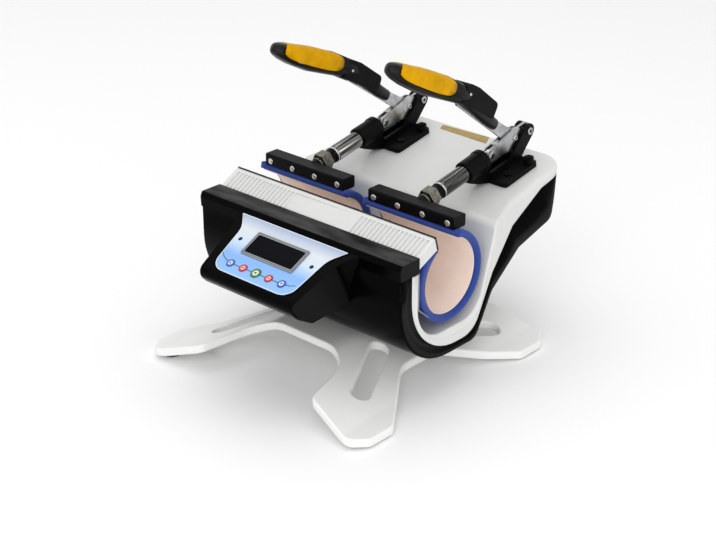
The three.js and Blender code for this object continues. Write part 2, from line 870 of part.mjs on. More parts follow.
function lipSection(x, depth, shrink) {
  const frontTop = new THREE.Vector2(lipFrontY, lipFrontZ + lipFrontHeight);
  const rearTop = new THREE.Vector2(lipTopY, lipRearZ + lipRearHeight);
  const along = rearTop.clone().sub(frontTop).normalize();
  const out = new THREE.Vector2(-along.y, along.x);
  const onTop = (share, drop) => frontTop.clone().lerp(rearTop, share).addScaledVector(out, -drop);
  const outline = [
    new THREE.Vector2(lipFrontY, lipFrontZ),
    new THREE.Vector2(lipRearY, lipRearZ),
    rearTop.clone().lerp(new THREE.Vector2(lipRearY, lipRearZ), lipRearEdgeShare),
    onTop(lipTopEdgeShare, 0),
    onTop(lipRibEndShare + lipRibStartShare, 0),
    onTop(lipRibEndShare, depth),
    onTop(lipRibStartShare, depth),
    onTop(0, depth),
  ];
  const middle = outline.reduce((sum, point) => sum.add(point), new THREE.Vector2())
    .divideScalar(outline.length);
  return outline.map((point) => {
    const moved = point.clone().lerp(middle, shrink);
    return new THREE.Vector3(x, moved.x, moved.y);
  });
}

function makeLip() {
  const sections = [];
  sections.push(lipSection(-lipHalfWidth, 0, lipEndShrink));
  sections.push(lipSection(-lipHalfWidth + lipEndBevel, 0, 0));
  [-1, 1].forEach((side) => {
    for (let rib = 0; rib < lipRibCount; rib += 1) {
      const fromEnd = lipRibEndMargin + (side < 0 ? rib : lipRibCount - rib) * lipRibPitch;
      const start = side < 0 ? fromEnd - lipHalfWidth : lipHalfWidth - fromEnd;
      sections.push(lipSection(start, 0, 0));
      sections.push(lipSection(start + lipRibPitch / 2, lipRibDepth, 0));
    }
  });
  sections.push(lipSection(lipHalfWidth - lipEndBevel, 0, 0));
  sections.push(lipSection(lipHalfWidth, 0, lipEndShrink));
  return loft(sections);
}

// Console face frame: x to the right, y up the face, z out of it, origin at the face's top edge.
const railBottomZ = wallTopZ + gap;
const railTopZ = railBottomZ + railHeight;
const railRearY = lipFrontY - gap;
const railFrontY = mugAxisY - railFrontReach;
const faceTopZ = railTopZ - railFrontStep;
const faceUp = new THREE.Vector3(0, Math.cos(slope), Math.sin(slope));
const faceOut = new THREE.Vector3(0, -Math.sin(slope), Math.cos(slope));
const faceFrame = new THREE.Matrix4()
  .makeBasis(new THREE.Vector3(1, 0, 0), faceUp, faceOut)
  .setPosition(0, railFrontY, faceTopZ);
const consoleFace = new THREE.Group();
consoleFace.applyMatrix4(faceFrame);
press.add(consoleFace);

function mirroredFace(corners) {
  const right = corners.map(([half, run, radius]) => [half, -run, radius]);
  const left = corners.map(([half, run, radius]) => [-half, -run, radius]).reverse();
  return rounded([...right, ...left]);
}

function makeFrontConsole() {
  const noseRearY = shellFrontY - gap;
  const tipY = railFrontY - faceLength * Math.cos(slope);
  const tipZ = faceTopZ - faceLength * Math.sin(slope);
  const rail = prismX(rounded([
    [railRearY, railBottomZ],
    [railRearY, railTopZ],
    [railRearY - railTopDepth, railTopZ, railFrontStep / 2],
    [railFrontY, faceTopZ, railFrontStep / 2],
    [noseRearY, railBottomZ],
  ]), -bodyHalfWidth, bodyHalfWidth);
  const wedge = prismX(rounded([
    [noseRearY, railBottomZ + railFrontStep],
    [railFrontY + railFrontStep, faceTopZ],
    [railFrontY, faceTopZ],
    [tipY, tipZ, noseEdgeRadius],
    [tipY + noseFrontSetback, tipZ - noseFrontDrop, noseEdgeRadius],
    [tipY + noseKneeSetback, tipZ - noseKneeDrop, noseEdgeRadius],
    [noseRearY, tipZ - noseKneeDrop + noseBellyRise],
  ]), -bodyHalfWidth, bodyHalfWidth);
  const outline = prismZ(mirroredFace([
    [noseTopHalf, -noseTopRun],
    [noseWaistHalf, noseWaistRun, noseWaistRadius],
    [noseFootHalf, faceLength + noseInlay, noseFootRadius],
  ]), -faceLength, faceLength).applyMatrix4(faceFrame);
  const pocket = boxBetween(-pocketHalf, pocketHalf, -pocketBottomRun, -pocketTopRun, -pocketDepth, overrun)
    .applyMatrix4(faceFrame);
  return cut(joined(rail, common(wedge, outline)), pocket);
}

const labelBack = gap;
const labelFront = labelBack + labelThickness;
const boardFront = boardThickness + gap - pocketDepth;

function buttonPlaces() {
  return [-2, -1, 0, 1, 2].map((step) => ({
    x: step * buttonPitch,
    radius: step === 0 ? middleButtonRadius : buttonRadius,
  }));
}

function makeLabel() {
  const sheet = prismZ(mirroredFace([
    [labelTipHalf, labelTipRun],
    [labelNeckHalf, labelNeckRun, labelNeckRadius],
    [labelFootHalf, labelFootRun, labelFootRadius],
  ]), labelBack, labelFront);
  const window = boxBetween(
    -bezelHalf + bezelCollar, bezelHalf - bezelCollar,
    -bezelBottomRun + bezelCollar, -bezelTopRun - bezelCollar,
    -overrun, overrun,
  );
  const holes = buttonPlaces().map(({ x, radius }) => rodZ(radius + gap, x, -buttonRun, -overrun, overrun));
  const lights = [-1, 1].map((side) => rodZ(ledRadius + gap, side * ledHalf, -ledRun, -overrun, overrun));
  return cut(sheet, window, ...holes, ...lights);
}

function bezelBox(inset, from, to) {
  return boxBetween(
    -bezelHalf + inset, bezelHalf - inset,
    -bezelBottomRun + inset, -bezelTopRun - inset,
    from, to,
  );
}

function makeConsolePieces() {
  addPiece(consoleFace, "label_plate", makeLabel(), labelBlue);
  const flangeBack = labelFront + gap;
  const flangeFront = flangeBack + bezelFlange;
  const bezelRim = bezelBox(0, flangeBack, flangeFront);
  const bezelNeck = bezelBox(bezelCollar + gap, -bezelDepth, flangeBack + bezelFuse);
  const bezel = cut(joined(bezelRim, bezelNeck), bezelBox(bezelFrame, -overrun, overrun));
  addPiece(consoleFace, "lcd_bezel", bezel, bezelGrey);
  const screenFront = flangeFront - screenSink;
  const screenSheet = bezelBox(bezelFrame + gap, screenFront - screenThickness, screenFront);
  addPiece(consoleFace, "lcd_screen", screenSheet, screenGlass);
  const board = boxBetween(
    -pocketHalf + boardMargin, pocketHalf - boardMargin,
    -pocketBottomRun + boardMargin, -pocketTopRun - boardMargin,
    gap - pocketDepth, boardFront,
  );
  addPiece(consoleFace, "control_board", board, boardGreen);
  const colours = [buttonBlue, buttonRed, buttonGreen, buttonRed, buttonBlue];
  buttonPlaces().forEach(({ x, radius }, k) => {
    const capFront = labelFront + buttonProud;
    const cap = rodZ(radius, x, -buttonRun, capFront - buttonCap, capFront);
    const stemBack = boardFront + buttonTravelGap;
    const stem = rodZ(buttonStemRadius, x, -buttonRun, stemBack, capFront - buttonCap / 2, smallSides);
    addPiece(consoleFace, `button_${k + 1}`, joined(cap, stem), colours[k]);
  });
  [-1, 1].forEach((side) => {
    const pipe = rodZ(ledRadius, side * ledHalf, -ledRun, boardFront + gap, labelFront + ledProud);
    addPiece(consoleFace, side < 0 ? "led_left" : "led_right", pipe, ledDark);
  });
}

// Rear fittings and power board.
function makeRearPieces() {
  const rear = new THREE.Group();
  rear.applyMatrix4(rearWall);
  press.add(rear);
  const bodyHalfW = inletHalfWidth - inletBodyInset;
  const bodyHalfH = inletHalfHeight - inletBodyInset;
  const socketHalfW = inletHalfWidth - inletSocketInset;
  const socketHalfH = inletHalfHeight - inletSocketInset;
  const flange = boxBetween(
    inletX - inletHalfWidth, inletX + inletHalfWidth,
    -inletHalfHeight, inletHalfHeight, gap, gap + inletFlange,
  );
  const body = boxBetween(
    inletX - bodyHalfW, inletX + bodyHalfW,
    -bodyHalfH, bodyHalfH, -inletDepth, inletFlange / 2,
  );
  const socket = boxBetween(
    inletX - socketHalfW, inletX + socketHalfW,
    -socketHalfH, socketHalfH, inletFlange - inletSocketDepth, inletFlange + overrun,
  );
  const blades = [-1, 0, 1].map((step) => boxBetween(
    inletX + step * bladePitch - bladeHalfWidth, inletX + step * bladePitch + bladeHalfWidth,
    -bladeHalfHeight, bladeHalfHeight,
    inletFlange - inletSocketDepth - bladeHalfWidth, inletFlange - inletSocketDepth + bladeLength,
  ));
  addPiece(rear, "power_inlet", joined(cut(joined(flange, body), socket), ...blades), blackRubber);

  const frame = boxBetween(
    switchX - switchHalfWidth - inletBodyInset, switchX + switchHalfWidth + inletBodyInset,
    -switchHalfHeight - inletBodyInset, switchHalfHeight + inletBodyInset, gap, gap + inletFlange,
  );
  const collar = boxBetween(
    switchX - switchHalfWidth, switchX + switchHalfWidth,
    -switchHalfHeight, switchHalfHeight, -inletDepth, inletFlange / 2,
  );
  const mouthInset = inletBodyInset / 2;
  const mouth = boxBetween(
    switchX - switchHalfWidth + mouthInset, switchX + switchHalfWidth - mouthInset,
    -switchHalfHeight + mouthInset, switchHalfHeight - mouthInset, -inletSocketDepth, inletFlange + overrun,
  );
  addPiece(rear, "switch_frame", cut(joined(frame, collar), mouth), blackRubber);

  // The rocker is a slice of a disc that tips about its middle line.
  const tip = (angle) => new THREE.Vector2(
    rockerRadius * Math.sin(radians(angle)),
    rockerRadius * Math.cos(radians(angle)) - rockerSink,
  );
  const crown = tip(0).y - rockerHollow;
  const face = [tip(rockerFaceAngle), new THREE.Vector2(0, crown), tip(-rockerFaceAngle)];
  const keel = [-rockerKeelHalf, rockerKeelHalf].map((z) => new THREE.Vector2(z, -rockerSink));
  const rockerHalf = switchHalfWidth - mouthInset - gap;
  const rocker = prismX([...face, ...keel], -rockerHalf, rockerHalf);
  rocker.rotateX(radians(-rockerTilt));
  rocker.translate(switchX, 0, 0);
  addPiece(rear, "rocker", rocker, blackGloss);

  const shellFloorRise = shellTailZ - (mugAxisHeight - shellBellyDrop);
  const floorTilt = Math.atan2(shellFloorRise, shellTailReach - shellBellyReach);
  const board = new THREE.Group();
  const boardY = (shellTailY + mugAxisY + shellBellyReach) / 2 - powerBoardShift;
  const share = (boardY - mugAxisY - shellBellyReach) / (shellTailReach - shellBellyReach);
  const floorZ = THREE.MathUtils.lerp(mugAxisHeight - shellBellyDrop, shellTailZ, share);
  board.position.set(0, boardY, floorZ);
  board.rotation.x = floorTilt;
  press.add(board);
  const seat = shellWall + gap;
  const halfLength = powerBoardLength / 2;
  const halfWidth = powerBoardWidth / 2;
  const sheet = boxBetween(-halfWidth, halfWidth, -halfLength, halfLength, seat, seat + boardThickness);
  const onSheet = seat + boardThickness / 2;
  const transformer = boxBetween(
    -halfWidth + boardMargin, -halfWidth + boardMargin + transformerSize,
    -transformerSize / 2, transformerSize / 2, onSheet, onSheet + transformerSize,
  );
  const relays = [0, 1, 2].map((step) => boxBetween(
    step * (relaySize + boardThickness), step * (relaySize + boardThickness) + relaySize,
    -relaySize, relaySize / 2, onSheet, onSheet + relaySize,
  ));
  addPiece(board, "power_board", joined(sheet, transformer, ...relays), boardGreen);
}

// Clamp frame origin on the deck.
const clampY = mugAxisY + clampReach;
const pivotBU = pivotLinkU + linkLength;
const pivotCU = pivotBU + crankLength;

// Height of the plunger's axis at the nut, and the jaw bar's own place.
const jawFrontY = mugAxisY + jawFrontReach;
const jawRearY = jawFrontY + jawDepth;
const jawBottomZ = mugAxisHeight + jawBottomRise;
const jawTopZ = jawBottomZ + jawHeight;
const nutRearU = sleeveFrontU - jamNutLength - nutClearance;
const nutFrontU = nutRearU - nutLength;
const clampMatrix = new THREE.Matrix4()
  .makeRotationX(pitch)
  .setPosition(0, clampY, deckZ(clampY) + gap);

function makeJawBracket() {
  const bar = prismX(rounded([
    [jawFrontY, jawBottomZ, jawEdge],
    [jawFrontY, jawTopZ, jawEdge],
    [jawRearY, jawTopZ, jawEdge],
    [jawRearY, jawBottomZ, jawEdge],
  ]), -jawHalf, jawHalf);
  const bossRearU = nutFrontU - gap;
  const boss = rodY(jawBossRadius, bossRearU - jawDepth / 2, bossRearU, clampAxisHeight)
    .applyMatrix4(clampMatrix);
  const bore = rodY(spindleRadius + gap, bossRearU - spindleGrip - gap, bossRearU + overrun, clampAxisHeight)
    .applyMatrix4(clampMatrix);
  return cut(joined(bar, boss), bore);
}

// Heating wrap: a C section round the mug, thinner where the lip and the jaw bar press on it.
function wrapSection(outerRadius, innerRadius, halfWidth, rearReach) {
  const ring = cut(
    rodX(outerRadius, -halfWidth, halfWidth, mugAxisY, mugAxisHeight, boreSides),
    rodX(innerRadius, -halfWidth - overrun, halfWidth + overrun, mugAxisY, mugAxisHeight, boreSides),
  );
  const far = 2 * outerRadius;
  const angle = radians(matFrontAngle);
  const mouth = prismX([
    new THREE.Vector2(mugAxisY, mugAxisHeight),
    new THREE.Vector2(mugAxisY + far * Math.cos(angle), mugAxisHeight + far * Math.sin(angle)),
    new THREE.Vector2(rearReach, mugAxisHeight + far),
    new THREE.Vector2(rearReach, mugAxisHeight),
  ], -halfWidth - overrun, halfWidth + overrun);
  return cut(ring, mouth);
}

// The bent sheet that backs the wrap runs down the trough's front wall and turns in under the wrap.
// This outline is everything in front of and below it.
function beyondPlate(inset) {
  const wall = troughFrontY + inset;
  const footY = mugAxisY - plateFootReach;
  const front = troughFrontY - overrun;
  return [
    new THREE.Vector2(wall, plateTopZ),
    new THREE.Vector2(wall, mugAxisHeight - plateTurnDrop + inset * plateTurnShare),
    new THREE.Vector2(footY, mugAxisHeight - plateFootDrop + inset),
    new THREE.Vector2(footY, troughBottomZ),
    new THREE.Vector2(front, troughBottomZ),
    new THREE.Vector2(front, plateTopZ),
  ];
}

function makeMat() {
  const halfWidth = matWidth / 2;
  const inner = mugBoreRadius + linerThickness + gap;
  const footY = mugAxisY - plateFootReach;
  const corner = boxBetween(-halfWidth, halfWidth, troughFrontY, footY, troughBottomZ, mugAxisHeight);
  const bore = rodX(inner, -halfWidth - overrun, halfWidth + overrun, mugAxisY, mugAxisHeight, boreSides);
  const ring = joined(wrapSection(inner + matThickness, inner, halfWidth, jawFrontY), cut(corner, bore));
  const reach = halfWidth + overrun;
  const lipLine = new THREE.Vector2(lipRearY - lipFrontY, lipRearZ - lipFrontZ).normalize();
  const below = new THREE.Vector2(lipLine.y, -lipLine.x).multiplyScalar(gap);
  const far = 2 * troughFrontReach;
  const underLip = prismX([
    new THREE.Vector2(lipFrontY, lipFrontZ).addScaledVector(lipLine, -far).add(below),
    new THREE.Vector2(lipRearY, lipRearZ).addScaledVector(lipLine, overrun).add(below),
    new THREE.Vector2(lipRearY, lipRearZ + far),
    new THREE.Vector2(lipFrontY - far, lipFrontZ + far),
  ], -reach, reach);
  const underJaw = boxBetween(-reach, reach, mugAxisY, mugAxisY + far, jawBottomZ - gap, mugAxisHeight + far);
  const plate = prismX(beyondPlate(2 * gap + plateThickness), -reach, reach);
  return cut(ring, plate, underLip, underJaw);
}

function makeMountPlate() {
  const sheet = prismX(beyondPlate(gap + plateThickness), -plateHalf, plateHalf);
  return cut(sheet, prismX(beyondPlate(gap), -plateHalf - overrun, plateHalf + overrun));
}

// Clamp base casting: plate, barrel on a saddle, and two lugs that lean back to carry the lever's pin.
function makeClampBase() {
  const rearU = basePlateFrontU + basePlateLength;
  const plate = prismZ(rounded([
    [-basePlateHalf, basePlateFrontU, basePlateCorner],
    [basePlateHalf, basePlateFrontU, basePlateCorner],
    [basePlateHalf, rearU, basePlateCorner],
    [-basePlateHalf, rearU, basePlateCorner],
  ]), 0, basePlateThickness);
  const barrel = turned([
    [0, barrelFrontU],
    [barrelRadius - sleeveChamfer, barrelFrontU],
    [barrelRadius, barrelFrontU + sleeveChamfer],
    [barrelRadius, barrelRearU - barrelCollar],
    [barrelRadius + barrelFlare, barrelRearU - barrelCollar + barrelFlare],
    [barrelRadius + barrelFlare, barrelRearU - sleeveChamfer],
    [barrelRadius + barrelFlare - sleeveChamfer, barrelRearU],
    [0, barrelRearU],
  ], clampAxisHeight);
  const saddle = prismX([
    new THREE.Vector2(barrelFrontU + sleeveChamfer, clampAxisHeight - barrelRadius / 2),
    new THREE.Vector2(barrelFrontU + sleeveChamfer, saddleFrontRise),
    new THREE.Vector2(saddleKneeU, saddleKneeRise),
    new THREE.Vector2(basePlateFrontU, 0),
    new THREE.Vector2(0, 0),
    new THREE.Vector2(0, lugRibHeight),
    new THREE.Vector2(barrelRearU - sleeveChamfer, clampAxisHeight - barrelRadius / 2),
  ], -saddleHalf, saddleHalf);
  const head = new THREE.Vector2(pivotCU, pivotHeight);
  const foot = new THREE.Vector2(pivotCU - lugFootReach, lugFootHeight);
  const lugs = [-1, 1].map((side) => {
    const inner = side < 0 ? -lugInner - lugThickness : lugInner;
    const outer = inner + lugThickness;
    const rib = boxBetween(inner, outer, -gap, foot.x, 0, lugRibHeight);
    const arm = prismX(strap(foot, lugHeadRadius, head, lugHeadRadius), inner, outer);
    const above = boxBetween(
      inner - gap, outer + gap,
      -basePlateLength, 2 * basePlateLength, 0, basePlateLength,
    );
    return joined(rib, common(arm, above));
  });
  const bosses = [-1, 1].map((side) => rodZ(
    baseBossRadius, side * baseBossSpread, rearU - baseBossInset, 0, basePlateThickness + baseBossHeight,
  ));
  const holes = [-1, 1].flatMap((side) => [
    rodZ(
      screwHoleRadius, side * screwSpread, basePlateFrontU + screwInset,
      -overrun, basePlateThickness + overrun,
    ),
    rodZ(screwHoleRadius, side * baseBossSpread, rearU - baseBossInset, -overrun, basePlateLength),
  ]);
  const bore = rodY(sleeveRadius + gap, barrelFrontU - overrun, barrelRearU + overrun, clampAxisHeight);
  const pinReach = lugInner + lugThickness + overrun;
  const pinHole = rodX(leverPinRadius + pinClearance, -pinReach, pinReach, pivotCU, pivotHeight);
  const body = joined(plate, barrel, saddle, ...lugs, ...bosses);
  return cut(body, bore, pinHole, ...holes);
}

// Plunger: chrome sleeve with a bored front end and a flat tongue at the rear.
function makePlunger() {
  const sleeve = turned([
    [0, sleeveFrontU],
    [sleeveRadius - sleeveChamfer, sleeveFrontU],
    [sleeveRadius, sleeveFrontU + sleeveChamfer],
    [sleeveRadius, sleeveRearU - sleeveChamfer],
    [sleeveRadius - sleeveChamfer, sleeveRearU],
    [0, sleeveRearU],
  ], clampAxisHeight);
  const tongue = prismX(strap(
    new THREE.Vector2(sleeveRearU - tongueRadius, clampAxisHeight), tongueRadius,
    new THREE.Vector2(pivotLinkU, pivotHeight), tongueRadius,
  ), -tongueHalf, tongueHalf);
  const boreRear = sleeveFrontU + sleeveBoreDepth;
  const bore = rodY(spindleRadius + gap, sleeveFrontU - overrun, boreRear, clampAxisHeight);
  const pinHole = rodX(
    linkPinRadius + pinClearance, -tongueHalf - overrun, tongueHalf + overrun, pivotLinkU, pivotHeight,
  );
  return cut(joined(sleeve, tongue), bore, pinHole);
}

function makeSpindle() {
  const frontU = nutFrontU - gap - spindleGrip;
  const collarRearU = sleeveFrontU - gap;
  return turned([
    [0, frontU],
    [spindleRadius, frontU],
    [spindleRadius, collarRearU - jamNutLength],
    [jamNutRadius, collarRearU - jamNutLength],
    [jamNutRadius, collarRearU],
    [spindleRadius, collarRearU],
    [spindleRadius, sleeveFrontU + sleeveBoreDepth - gap],
    [0, sleeveFrontU + sleeveBoreDepth - gap],
  ], clampAxisHeight);
}

function makeHexNut() {
  const cornerRadius = nutAcrossFlats / Math.sqrt(3);
  const hex = new THREE.CylinderGeometry(cornerRadius, cornerRadius, nutLength, 6);
  hex.rotateY(Math.PI / 2).translate(0, nutFrontU + nutLength / 2, clampAxisHeight);
  return cut(hex, rodY(spindleRadius + gap, nutFrontU - overrun, nutRearU + overrun, clampAxisHeight));
}

// Toggle link: two side plates joined by a web on top, with rivet bosses at the lever's end.
function makeToggleLink() {
  const front = new THREE.Vector2(pivotLinkU, pivotHeight);
  const rear = new THREE.Vector2(pivotBU, pivotHeight);
  const outline = strap(front, linkFrontRadius, rear, linkRearRadius);
  const outer = linkInner + linkPlateThickness;
  const plates = [-1, 1].map((side) => prismX(outline, Math.min(side * linkInner, side * outer),
    Math.max(side * linkInner, side * outer)));
  const web = boxBetween(
    -linkInner - linkPlateThickness / 2, linkInner + linkPlateThickness / 2,
    pivotLinkU + linkWebStart, pivotLinkU + linkWebStart + linkWebLength,
    pivotHeight + linkWebRise, pivotHeight + linkWebRise + linkWebThickness,
  );
  const bosses = [-1, 1].map((side) => {
    const start = side < 0 ? -outer - rivetBossHeight : outer - rivetBossHeight;
    return rodX(rivetHeadRadius, start, start + 2 * rivetBossHeight, pivotBU, pivotHeight);
  });
  const pinReach = outer + overrun;
  const pinHole = rodX(linkPinRadius + pinClearance, -pinReach, pinReach, pivotLinkU, pivotHeight);
  return cut(joined(...plates, web, ...bosses), pinHole);
}

function headedPin(shaft, half, head, headThickness, u) {
  return joined(
    rodX(shaft, -half - headThickness / 2, half + headThickness / 2, u, pivotHeight),
    rodX(head, -half - headThickness, -half, u, pivotHeight),
    rodX(head, half, half + headThickness, u, pivotHeight),
  );
}

// Handle line: from the link pivot up and to the front.
const handleTurn = radians(handleAngle);
const handleAlong = new THREE.Vector2(-Math.cos(handleTurn), Math.sin(handleTurn));
const handleAcross = new THREE.Vector2(Math.sin(handleTurn), Math.cos(handleTurn));

function handlePoint(along, across) {
  return new THREE.Vector2(pivotBU, pivotHeight)
    .addScaledVector(handleAlong, along)
    .addScaledVector(handleAcross, across);
}

function shankOutline(grow) {
  const start = handlePoint(handleStart / 2, 0);
  const end = handlePoint(handleStart + leverTailReach, leverTailRise);
  return strap(start, leverNeckRadius + grow, end, leverTailRadius + grow);
}

function makeLever() {
  const crank = prismX(strap(
    new THREE.Vector2(pivotCU, pivotHeight), leverBossRadius,
    new THREE.Vector2(pivotBU, pivotHeight), leverBossRadius,
  ), -leverHalf, leverHalf);
  const neck = prismX(strap(
    new THREE.Vector2(pivotBU, pivotHeight), leverBossRadius,
    handlePoint(handleStart / 2, 0), leverNeckRadius,
  ), -leverHalf, leverHalf);
  const shank = prismX(shankOutline(0), -leverHalf, leverHalf);
  const pinReach = leverHalf + overrun;
  const pinHole = rodX(leverPinRadius + pinClearance, -pinReach, pinReach, pivotCU, pivotHeight);
  return cut(joined(crank, neck, shank), pinHole);
}

// Grip: rounded sections along the handle line.
function gripSolid(grow) {
  const sections = gripShares.map((share, k) => {
    const along = handleStart + share * gripLength;
    const middle = (gripLow[k] + gripHigh[k]) / 2;
    const halfHeight = (gripHigh[k] - gripLow[k]) / 2 + grow;
    return Array.from({ length: gripSides }, (_, side) => {
      const turn = (2 * Math.PI * side) / gripSides;
      const wide = Math.sign(Math.cos(turn)) * Math.abs(Math.cos(turn)) ** gripSquareness;
      const high = Math.sign(Math.sin(turn)) * Math.abs(Math.sin(turn)) ** gripSquareness;
      const point = handlePoint(along, middle + high * halfHeight);
      return new THREE.Vector3(wide * (gripHalf[k] + grow), point.x, point.y);
    });
  });
  return loft(sections);
}

function insetOutline(shrink) {
  const points = [];
  const half = insetLength / 2;
  for (let step = 0; step < roundSides; step += 1) {
    const turn = (2 * Math.PI * step) / roundSides;
    const end = Math.sign(Math.cos(turn)) * Math.abs(Math.cos(turn)) ** insetSquareness;
    const along = half + end * (half - shrink);
    const share = along / insetLength;
    const middle = THREE.MathUtils.lerp(insetInnerMid, insetOuterMid, share);
    const high = THREE.MathUtils.lerp(insetInnerHalf, insetOuterHalf, share) - shrink;
    const squared = Math.sign(Math.sin(turn)) * Math.abs(Math.sin(turn)) ** insetSquareness;
    points.push(handlePoint(handleStart + insetStart + along, middle + squared * high));
  }
  return points;
}

function makeGrip() {
  const reach = 2 * blockHalf;
  const socketHalf = leverHalf + socketClearance;
  const socket = prismX(shankOutline(socketClearance), -socketHalf, socketHalf);
  return cut(gripSolid(0), socket, prismX(insetOutline(0), -reach, reach));
}

function makeGripInset() {
  const reach = 2 * blockHalf;
  return common(gripSolid(insetProud), prismX(insetOutline(gap), -reach, reach));
}

function makeGripBlock(shift, drop) {
  const place = (share, across) => {
    const point = handlePoint(handleStart + blockStart + shift + share * blockLength, across - drop);
    return [point.x, point.y];
  };
  const outline = rounded([
    [...place(0, blockLow), 0],
    [...place(0, blockInnerTop), blockRadius],
    [...place(blockMidShare, blockMidTop), blockRadius],
    [...place(1, blockOuterTop), blockRadius],
    [...place(1, blockLow), 0],
  ]);
  const core = prismX(outline, -blockHalf, blockHalf);
  return cut(core, gripSolid(gap), prismX(shankOutline(socketClearance), -leverHalf - socketClearance,
    leverHalf + socketClearance));
}

// Both stations.
const stationGeometry = {
  mountPlate: makeMountPlate(),
  mat: makeMat(),
  liner: wrapSection(mugBoreRadius + linerThickness, mugBoreRadius, linerWidth / 2, jawFrontY),
  bracket: makeJawBracket(),
  clampBase: makeClampBase(),
  plunger: makePlunger(),
  spindle: makeSpindle(),
  nut: makeHexNut(),
  link: makeToggleLink(),
  linkPin: headedPin(
    linkPinRadius, linkInner + linkPlateThickness + gap,
    rivetHeadRadius, rivetHead, pivotLinkU,
  ),
  leverPin: headedPin(
    leverPinRadius, lugInner + lugThickness + gap,
    leverPinHeadRadius, leverPinHead, pivotCU,
  ),
  lever: makeLever(),
  grip: makeGrip(),
  gripInset: makeGripInset(),
  leftBlock: makeGripBlock(leftBlockShift, leftBlockDrop),
  rightBlock: makeGripBlock(0, 0),
};

function addStation(side, label) {
  const station = new THREE.Group();
  station.position.x = (side * stationSpacing) / 2;
  press.add(station);
  addPiece(station, `${label}_mount_plate`, stationGeometry.mountPlate, blackCasting);
  addPiece(station, `${label}_heating_mat`, stationGeometry.mat, blueSilicone);
  addPiece(station, `${label}_mat_liner`, stationGeometry.liner, copperLiner);
  addPiece(station, `${label}_jaw_bracket`, stationGeometry.bracket, blackCasting);
  const clamp = new THREE.Group();
  clamp.applyMatrix4(clampMatrix);
  station.add(clamp);
  addPiece(clamp, `${label}_clamp_base`, stationGeometry.clampBase, blackCasting);
  addPiece(clamp, `${label}_plunger`, stationGeometry.plunger, chrome);
  addPiece(clamp, `${label}_spindle`, stationGeometry.spindle, blackCasting);
  addPiece(clamp, `${label}_hex_nut`, stationGeometry.nut, nickel);
  addPiece(clamp, `${label}_toggle_link`, stationGeometry.link, zinc);
  addPiece(clamp, `${label}_link_pin`, stationGeometry.linkPin, zinc);
  addPiece(clamp, `${label}_lever_pin`, stationGeometry.leverPin, zinc);
  const handle = new THREE.Group();
  const drop = side < 0 ? radians(leftHandleDrop) : 0;
  handle.applyMatrix4(new THREE.Matrix4().makeTranslation(0, -pivotCU, -pivotHeight));
  handle.applyMatrix4(new THREE.Matrix4().makeRotationX(drop));
  handle.applyMatrix4(new THREE.Matrix4().makeTranslation(0, pivotCU, pivotHeight));
  clamp.add(handle);
  addPiece(handle, `${label}_lever`, stationGeometry.lever, zinc);
  addPiece(handle, `${label}_grip`, stationGeometry.grip, gripPlastic);
  addPiece(handle, `${label}_grip_inset`, stationGeometry.gripInset, yellowPlastic);
  addPiece(handle, `${label}_grip_block`, stationGeometry[`${label}Block`], blackRubber);
}

addPiece(press, "base_plate", makeStand(), whitePaint);
[-1, 1].forEach((x) => [-1, 1].forEach((y) => {
  const name = `foot_${y < 0 ? "front" : "rear"}_${x < 0 ? "left" : "right"}`;
  addPiece(press, name, makeFoot(x, y), blackRubber);
}));
addPiece(press, "lower_shell", makeLowerShell(), blackGloss);
addPiece(press, "tray", makeTray(), whitePaint);
addPiece(press, "front_lip", makeLip(), whitePaint);
addPiece(press, "front_console", makeFrontConsole(), blackGloss);
makeConsolePieces();
makeRearPieces();
addStation(-1, "left");
addStation(1, "right");

// Origin under the middle of the whole: half way between the console's nose and the deck's rear.
press.updateMatrixWorld(true);
const extent = new THREE.Box3().setFromObject(press, true);
press.position.y = -(extent.min.y + extent.max.y) / 2;

export default press;
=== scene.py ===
import math

import bmesh
import bpy
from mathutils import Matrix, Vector


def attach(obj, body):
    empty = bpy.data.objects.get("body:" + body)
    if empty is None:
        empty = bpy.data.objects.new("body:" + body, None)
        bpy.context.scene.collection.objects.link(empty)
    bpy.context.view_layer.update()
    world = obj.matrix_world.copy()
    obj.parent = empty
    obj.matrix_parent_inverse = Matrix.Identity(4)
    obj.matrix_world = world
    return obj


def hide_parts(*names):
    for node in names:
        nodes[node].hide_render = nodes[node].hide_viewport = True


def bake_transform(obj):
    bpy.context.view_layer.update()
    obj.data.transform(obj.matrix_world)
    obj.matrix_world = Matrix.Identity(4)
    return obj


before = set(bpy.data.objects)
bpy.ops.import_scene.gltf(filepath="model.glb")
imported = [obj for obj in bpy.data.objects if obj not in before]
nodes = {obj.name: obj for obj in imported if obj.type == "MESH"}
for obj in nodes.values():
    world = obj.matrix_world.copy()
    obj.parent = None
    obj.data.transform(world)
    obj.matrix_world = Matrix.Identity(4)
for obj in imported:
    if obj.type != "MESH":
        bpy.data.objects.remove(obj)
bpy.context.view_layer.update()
scene = bpy.context.scene
SIDES = {"left": -1, "right": 1}
MM = 0.001

# Camera: its angles, the point that it looks at in millimetres, its distance in metres.
CAMERA_AZIMUTH = math.radians(42.23)
CAMERA_ELEVATION = math.radians(25.43)
CAMERA_TARGET = Vector((24.03, -40.68, 112.93)) * MM
CAMERA_DISTANCE = 1.81715
CAMERA_SENSOR = 36.0
IMAGE_WIDTH = 716
FOCAL_PIXELS = 1629.17
CAMERA_FOCAL_SHARE = FOCAL_PIXELS / IMAGE_WIDTH
CAMERA_CLIP = (0.05, 60)

# Surface texture: blotches in the colour, smudges in the gloss.
BLOTCH_NOISE = (4.0, 0.6)
SMUDGE_NOISE = (5.0, 0.65)
SMUDGE_SHARE = 2.3
NOISE_LOW = 0.3
NOISE_HIGH = 0.7

